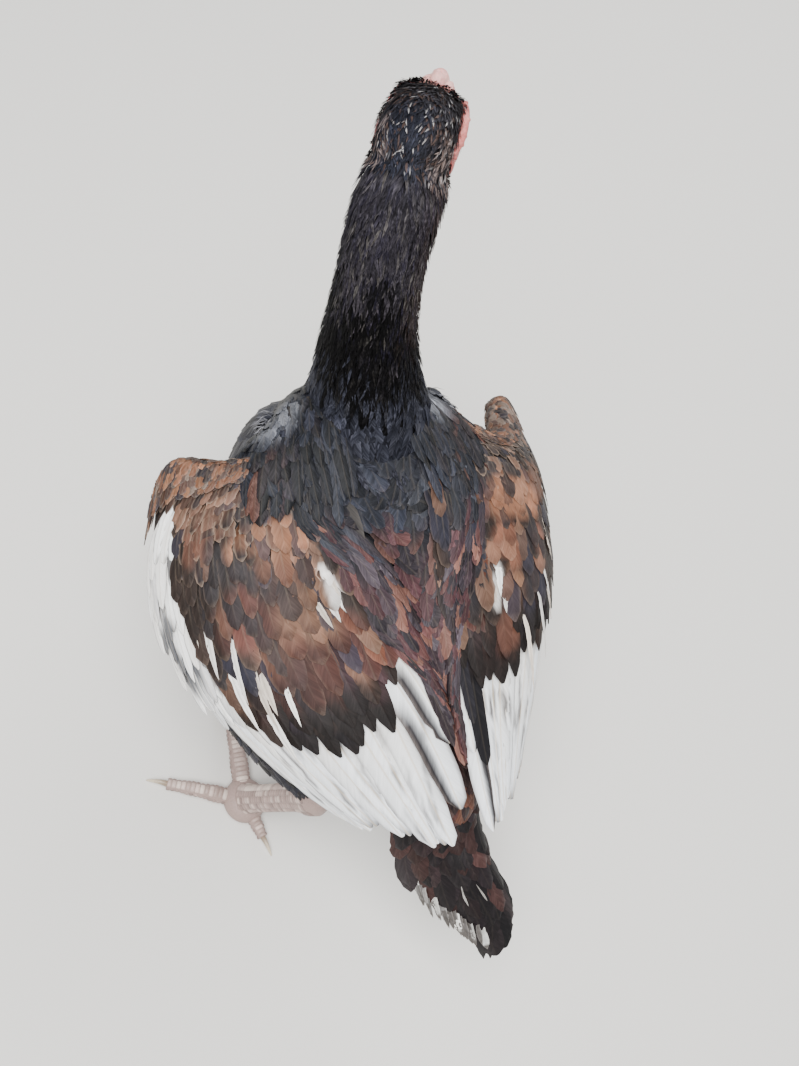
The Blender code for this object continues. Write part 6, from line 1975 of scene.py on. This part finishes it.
def make_eyes():
    """Glossy eyes with a pale iris, a black pupil and a dark rim where the white would start."""
    material = tinted_material("eye", 0.05, 0.8, 0.0, 0.05, coat=1.0)
    for side, label in ((1, "left"), (-1, "right")):
        rings, sides = 64, 64
        angle = np.pi * np.arange(1, rings) / rings
        ahead, above, out = eye_axes(side)
        centre = on_head(EYE_PLACE[0], side * EYE_PLACE[1], EYE_PLACE[2])
        bulge = 1.0 + 0.06 * (1.0 - ramp(np.degrees(angle), 20.0, 44.0))
        centres = centre + np.multiply.outer(np.cos(angle) * EYE_RADIUS * bulge, out)
        reach = np.sin(angle) * EYE_RADIUS * bulge
        band = ovals(centres, np.tile(ahead, (rings - 1, 1)), np.tile(above, (rings - 1, 1)), reach, reach, sides, 2.0)
        degrees = np.degrees(angle)
        colour = np.broadcast_to(linear("#0b0908"), (rings - 1, 3))
        colour = mix(colour, np.array(settings().iris), ramp(degrees, 15.0, 17.0))
        colour = mix(colour, linear("#8a6a34"), ramp(degrees, 26.0, 36.0) * 0.7)
        colour = mix(colour, linear("#120c0a"), ramp(degrees, 39.0, 43.0))
        tint = np.concatenate([np.repeat(colour, sides, axis=0), colour[:1], colour[-1:]])
        tint = np.concatenate([tint, np.ones((len(tint), 1))], axis=1)
        bag = Bag()
        bag.add_closed(band, (0.0, 0.0, 0.0, 1.0), (0.01, 0.01), 0.98)
        bag.tints[-1] = tint
        place_piece(bag.build(f"eye_ball_{label}", material), "eye", f"eye_{label}")


def make_beak():
    """Both halves of the beak, the nostrils sunk in and painted near-black as shade in the opening, darker towards the
    root and pale at the edge.
    """
    material = tinted_material("beak horn", 0.34, 1.4, 0.12, 0.10, coat=0.25)
    for name, sections, node_name in (("beak_top", UPPER_BEAK, "beak_upper"), ("beak_low", LOWER_BEAK, "beak_lower")):
        rings = head_rings(sections, 60, 48, 2.0)
        flat = rings.reshape(-1, 3)
        local = head_local(flat)
        colour = np.broadcast_to(np.array(settings().beak), (len(flat), 3))
        base = 1.0 - ramp(local[:, 0], 0.0150, 0.0300)
        colour = mix(colour, linear("#5c4a3a"), base * 0.65 * ramp(local[:, 2], -0.006, 0.004))
        if name == "beak_top":
            for side in (1, -1):
                far = np.hypot((local[:, 0] - NOSTRIL_PLACE[0]) / 0.0019, (local[:, 2] - NOSTRIL_PLACE[2]) / 0.0010)
                hole = (1.0 - ramp(far, 0.5, 1.2)) * (np.sign(local[:, 1]) == side)
                flat = flat - np.outer(hole * side * 0.0012, head_axes()[1])
                # The nostril's opening painted near-black: painted shade in the hole
                colour = mix(colour, linear("#150f0d"), hole)
        rings = flat.reshape(rings.shape)
        tint = np.concatenate([colour, colour[:1], colour[-1:]])
        tint = np.concatenate([tint, np.ones((len(tint), 1))], axis=1)
        bag = Bag()
        bag.add_closed(rings, (0.0, 0.0, 0.0, 1.0), (0.01, 0.01), 0.98)
        bag.tints[-1] = tint
        place_piece(bag.build(name, material), "beak_horn", node_name)


def shank_at(leg, t, angle, rise=0.0):
    """Places on the shank at shares of its length and turns from its front."""
    hock = np.asarray(leg["hock"])
    ankle = np.array((*leg["sole"], ANKLE_HEIGHT))
    along = unit(ankle - hock)
    ahead = np.array((0.0, -1.0, 0.0))
    front = unit(ahead - along * (ahead @ along))
    side = np.cross(along, front)
    start = hock - along * SHANK_OVERRUN
    length = np.linalg.norm(ankle - start)
    swell = np.exp(-(((t * length - HOCK_PLACE) / HOCK_LENGTH) ** 2)) * (HOCK_RADIUS - SHANK_RADIUS)
    swell = swell + np.exp(-(((1.0 - t) * length / ANKLE_LENGTH) ** 2)) * ANKLE_SWELL
    cap = np.interp(t, (0.0, 0.035, 0.09), (0.45, 0.8, 1.0))
    across = (SHANK_RADIUS + swell) * cap + rise
    deep = (SHANK_DEPTH + swell) * cap + rise
    c, s = np.cos(angle), np.sin(angle)
    return (
        start + (length * t)[..., None] * along
        + (c * deep)[..., None] * front + (s * across)[..., None] * side
    )


def toe_at(side, leg, toe, turn, t, angle, rise=0.0):
    """Places on a toe at shares of its length and turns from its outer side upwards."""
    _, length, radius, _ = toe
    angle_of = math.radians(turn)
    heading = np.array((side * math.sin(angle_of), -math.cos(angle_of), 0.0))
    across = np.array((-heading[1], heading[0], 0.0))
    root = np.array((*leg["sole"], 0.0)) + heading * TOE_START
    run = length - TOE_START
    knuckles = 1.0 + TOE_KNUCKLE * np.cos(2 * np.pi * TOE_KNUCKLES * t)
    r = radius * (1.0 - (1.0 - TOE_END_SHARE) * t) * knuckles
    arch = TOE_ARCH * np.sin(np.pi * t) * min(length / TOE_FULL_LENGTH, 1.0)
    middle = radius * (TOE_LEVEL[0] - TOE_LEVEL[1] * t) + arch
    height = middle + np.sin(angle) * (r + rise)
    place = root + (run * t)[..., None] * heading + (np.cos(angle) * (r * TOE_BROAD + rise))[..., None] * across
    place[..., 2] = np.maximum(height, 0.0)
    return place


def scale_plates(bag, surface, t, angle, half_t, half_angle, rise, colour, rng, grid=(6, 6), lap=0.35):
    """Raised plates on a round form, each higher at its far edge, where it laps over the next."""
    n = len(t)
    u = np.linspace(-1.0, 1.0, grid[0])
    v = np.linspace(-1.0, 1.0, grid[1])
    uu, vv = np.meshgrid(u, v, indexing="ij")
    round_off = 1.0 - np.abs(uu * vv) ** 2 * 0.10
    tt = t[:, None, None] + half_t[:, None, None] * uu * round_off
    aa = angle[:, None, None] + half_angle[:, None, None] * vv * round_off
    dome = (1.0 - np.abs(uu) ** 4) * (1.0 - np.abs(vv) ** 4)
    height = rise * (dome * (1.0 + lap * uu) - 0.25 * (1.0 - dome))
    height = height[None] * rng.uniform(0.85, 1.15, n)[:, None, None]
    points = surface(np.clip(tt, 0.0, 1.0), aa, height)
    base = hexes(*colour)[rng.integers(0, len(colour), n)] * np.exp(rng.normal(0.0, 0.08, n))[:, None]
    edge = 1.0 - 0.35 * (1.0 - np.minimum(dome * 3.0, 1.0))
    tint = base[:, None, None, :] * edge[None, :, :, None]
    tint = np.concatenate([tint, np.zeros(tint.shape[:-1] + (1,))], axis=-1)
    local = np.broadcast_to(np.stack([uu, vv], axis=-1) * 0.02 + 0.5, (n, *grid, 2))
    patch = np.stack([0.05 + 0.9 * tt, 0.5 + 0.45 * np.sin(aa)], axis=-1)
    bag.add(points, local, tint, patch)


def make_leg(side):
    """Shank, toes and sole in one skin, with lapped scutes in front and small scales round the sides."""
    label = "left" if side > 0 else "right"
    leg = LEGS[side]
    rng = dice(61 + side)
    skin = ("#978179", "#a18a82", "#8a756e")
    pale = ("#bba69c", "#ae9990", "#c8b6aa", "#a08b82")
    bag = Bag()
    t = np.linspace(0.0, 1.0, 60)
    angle = np.linspace(0.0, 2 * np.pi, 40, endpoint=False)
    tt, aa = np.meshgrid(t, angle, indexing="ij")
    skin_tint = (*linear(skin[0]), 0.0)
    bag.add_closed(shank_at(leg, tt, aa), skin_tint, (0.02, 0.02), 0.3)
    rings = pad_rings(leg)
    bag.add_closed(rings, skin_tint, (0.35, 0.02), 0.3)

    def on_shank(t, angle, rise):
        return shank_at(leg, t, angle, rise)

    for column, offset in ((0.36, 0.0), (-0.36, 0.5)):
        places = (np.arange(20) + 0.4 + offset) / 20.5
        scale_plates(bag, on_shank, 0.10 + 0.88 * places, np.full(20, column), np.full(20, 0.026),
                     np.full(20, 0.42), 0.00075, pale, rng, (7, 8))
    for column, count in ((0.95, 28), (1.45, 30), (1.95, 30), (2.45, 28), (2.95, 26),
                          (-0.95, 28), (-1.45, 30), (-1.95, 30), (-2.45, 28)):
        places = (np.arange(count) + 0.5 + 0.5 * (int(abs(column) * 2) % 2)) / (count + 1)
        scale_plates(bag, on_shank, 0.08 + 0.90 * places, np.full(count, column), np.full(count, 0.45 / count),
                     np.full(count, 0.27), 0.00045, skin + pale[:1], rng, (5, 5))
    for toe, turn in zip(TOES, leg["turns"]):
        rings = toe_at(side, leg, toe, turn, *np.meshgrid(np.linspace(0, 1, 44), angle, indexing="ij"))
        bag.add_closed(rings, skin_tint, (0.02, 0.4), 0.3)

        def on_toe(t, angle, rise, toe=toe, turn=turn):
            return toe_at(side, leg, toe, turn, t, angle, rise)

        count = int(toe[1] / 0.0030)
        places = (np.arange(count) + 0.6) / count
        scale_plates(bag, on_toe, places, np.full(count, np.pi / 2), np.full(count, 0.52 / count),
                     np.full(count, 0.80), 0.00055, pale, rng, (6, 10))
        for column in (0.35, -0.15, 2.80, 3.30):
            scale_plates(bag, on_toe, places, np.full(count, column), np.full(count, 0.45 / count),
                         np.full(count, 0.24), 0.00035, skin, rng, (5, 5))
    material = tinted_material(f"leg scale {label}", 0.50, 0.9, 0.10, 0.12)
    names = [f"toe_{label}_{toe[0]}" for toe in TOES]
    place_piece(bag.build(f"leg_{label}", material), "leg_scale", f"shank_{label}", *names)
    make_claws(side, leg, label)


def pad_rings(leg):
    centre = np.array((*leg["sole"], PAD_RADIUS[2] * PAD_LEVEL))
    rings = ball_rings(centre, PAD_RADIUS, np.eye(3), 24, 40)
    rings[..., 2] = np.maximum(rings[..., 2], 0.0)
    return rings


def make_claws(side, leg, label):
    """Horn claws, paler towards the tip."""
    material = tinted_material(f"claw horn {label}", 0.36, 1.2, 0.06, 0.12, coat=0.15)
    for toe, turn in zip(TOES, leg["turns"]):
        name, length, radius, _ = toe
        heading = np.array((side * math.sin(math.radians(turn)), -math.cos(math.radians(turn)), 0.0))
        across = np.array((-heading[1], heading[0], 0.0))
        end = radius * TOE_END_SHARE * (1.0 + TOE_KNUCKLE)
        thick = end * CLAW_THICK
        middle = radius * (TOE_LEVEL[0] - TOE_LEVEL[1])
        height = max(middle, thick + CLAW_CLEARANCE)
        start = np.array((*leg["sole"], 0.0)) + heading * (length - 0.0008)
        reach = CLAW_LENGTH * min(1.0, CLAW_SHARE[0] + radius * CLAW_SHARE[1]) + 0.0008
        t = np.linspace(0.0, 1.0, 28)
        taper = thick * (1.0 - t) ** CLAW_TAPER + CLAW_TIP * t
        lift = height + CLAW_ARCH * np.sin(np.pi * t) - (height - CLAW_CLEARANCE - CLAW_TIP) * t**CLAW_FALL
        lift = np.maximum(lift, taper + CLAW_CLEARANCE)
        centres = start + np.multiply.outer(reach * t, heading)
        centres[:, 2] += lift
        n = len(t)
        rings = ovals(centres, np.tile(across, (n, 1)), np.tile((0.0, 0.0, 1.0), (n, 1)), taper * CLAW_BROAD, taper,
                      24, 2.0)
        colour = mix(np.broadcast_to(linear("#8a7866"), (n, 3)), linear("#cbbca4"), ramp(t, 0.1, 0.9))
        tint = np.concatenate([np.repeat(colour, 24, axis=0), colour[:1], colour[-1:]])
        tint = np.concatenate([tint, np.ones((len(tint), 1))], axis=1)
        bag = Bag()
        bag.add_closed(rings, (0.0, 0.0, 0.0, 1.0), (0.01, 0.01), 0.98)
        bag.tints[-1] = tint
        place_piece(bag.build(f"claw_horn_{label}_{name}", material), "claw_horn", f"claw_{label}_{name}")


def make_stage():
    """Plain pale floor, a pale even sky, a broad soft light above and the camera at the picture's place."""
    mesh = bpy.data.meshes.new("floor")
    mesh.from_pydata([(-3, -3, 0), (3, -3, 0), (3, 3, 0), (-3, 3, 0)], [], [(0, 1, 2, 3)])
    floor = bpy.data.objects.new("floor", mesh)
    bpy.context.scene.collection.objects.link(floor)
    material, tree = new_material("matt floor")
    shade(tree, {"Base Color": (*settings().floor, 1.0), "Roughness": 0.9})
    mesh.materials.append(material)
    world = bpy.data.worlds.new("sky")
    world.use_nodes = True
    world.node_tree.nodes["Background"].inputs["Color"].default_value = (*linear("#dfe3e8"), 1.0)
    world.node_tree.nodes["Background"].inputs["Strength"].default_value = 1.10
    bpy.context.scene.world = world
    lamps = (("soft light", (0.5, 0.3, 1.6), 1.0, 52.0), ("side light", (-1.0, -0.6, 1.0), 0.9, 12.0))
    for name, place, size, power in lamps:
        lamp = bpy.data.lights.new(name, "AREA")
        lamp.energy = power
        lamp.size = size
        holder = bpy.data.objects.new(name, lamp)
        holder.location = place
        holder.rotation_euler = (Vector(place) - Vector((0, 0, 0.15))).to_track_quat("Z", "Y").to_euler()
        bpy.context.scene.collection.objects.link(holder)
    lens = bpy.data.cameras.new("camera")
    lens.lens = CAMERA_LENS
    lens.sensor_width = CAMERA_SENSOR
    lens.sensor_height = CAMERA_SENSOR
    lens.sensor_fit = "AUTO"
    camera = bpy.data.objects.new("camera", lens)
    turn = Matrix((CAMERA_RIGHT, CAMERA_UP, CAMERA_BACK)).transposed().to_4x4()
    camera.matrix_world = Matrix.Translation(Vector(CAMERA_PLACE) + Vector(SHIFT)) @ turn
    bpy.context.scene.collection.objects.link(camera)
    bpy.context.scene.camera = camera


class ASEEL_OT_skin(bpy.types.Operator):
    """Builds the skin under the plumage"""

    bl_idname = "aseel.skin"
    bl_label = "Skin"

    def execute(self, context):
        skin_piece()
        return {"FINISHED"}


class ASEEL_OT_coat(bpy.types.Operator):
    """Lays the feathers of torso, thighs and neck"""

    bl_idname = "aseel.coat"
    bl_label = "Body and neck feathers"

    def execute(self, context):
        body_feathers()
        make_mantle()
        make_shoulders()
        down_wisps()
        neck_feathers()
        return {"FINISHED"}


class ASEEL_OT_head(bpy.types.Operator):
    """Builds head feathers, face, comb, eyes and beak"""

    bl_idname = "aseel.head"
    bl_label = "Head"

    def execute(self, context):
        head_feathers()
        make_face()
        make_comb()
        make_eyes()
        make_beak()
        return {"FINISHED"}


class ASEEL_OT_wings(bpy.types.Operator):
    """Builds both wings"""

    bl_idname = "aseel.wings"
    bl_label = "Wings"

    def execute(self, context):
        for side in (1, -1):
            make_wing(side)
        make_wrists()
        return {"FINISHED"}


class ASEEL_OT_tail(bpy.types.Operator):
    """Builds the tail feathers and their coverts"""

    bl_idname = "aseel.tail"
    bl_label = "Tail"

    def execute(self, context):
        make_tail()
        return {"FINISHED"}


class ASEEL_OT_legs(bpy.types.Operator):
    """Builds shanks, toes and claws"""

    bl_idname = "aseel.legs"
    bl_label = "Legs"

    def execute(self, context):
        for side in (1, -1):
            make_leg(side)
        return {"FINISHED"}


class ASEEL_OT_stage(bpy.types.Operator):
    """Sets the floor, the lights and the camera"""

    bl_idname = "aseel.stage"
    bl_label = "Stage"

    def execute(self, context):
        make_stage()
        return {"FINISHED"}


OPERATORS = (
    ASEEL_OT_skin, ASEEL_OT_coat, ASEEL_OT_head, ASEEL_OT_wings, ASEEL_OT_tail, ASEEL_OT_legs, ASEEL_OT_stage,
)


class ASEEL_PT_panel(bpy.types.Panel):
    """Lists the bird's pieces and their settings"""

    bl_idname = "ASEEL_PT_panel"
    bl_label = "Aseel chicken"
    bl_space_type = "VIEW_3D"
    bl_region_type = "UI"
    bl_category = "Aseel"

    def draw(self, context):
        settings = context.scene.aseel
        for name in AseelSettings.__annotations__:
            self.layout.prop(settings, name)
        for made in OPERATORS:
            self.layout.operator(made.bl_idname)


def register():
    for made in (AseelSettings, *OPERATORS, ASEEL_PT_panel):
        bpy.utils.register_class(made)
    bpy.types.Scene.aseel = PointerProperty(type=AseelSettings)


def unregister():
    del bpy.types.Scene.aseel
    for made in (ASEEL_PT_panel, *reversed(OPERATORS), AseelSettings):
        bpy.utils.unregister_class(made)


def main():
    register()
    bpy.ops.aseel.skin()
    bpy.ops.aseel.coat()
    bpy.ops.aseel.head()
    bpy.ops.aseel.wings()
    bpy.ops.aseel.tail()
    bpy.ops.aseel.legs()
    bpy.ops.aseel.stage()


if __name__ == "__main__":
    main()
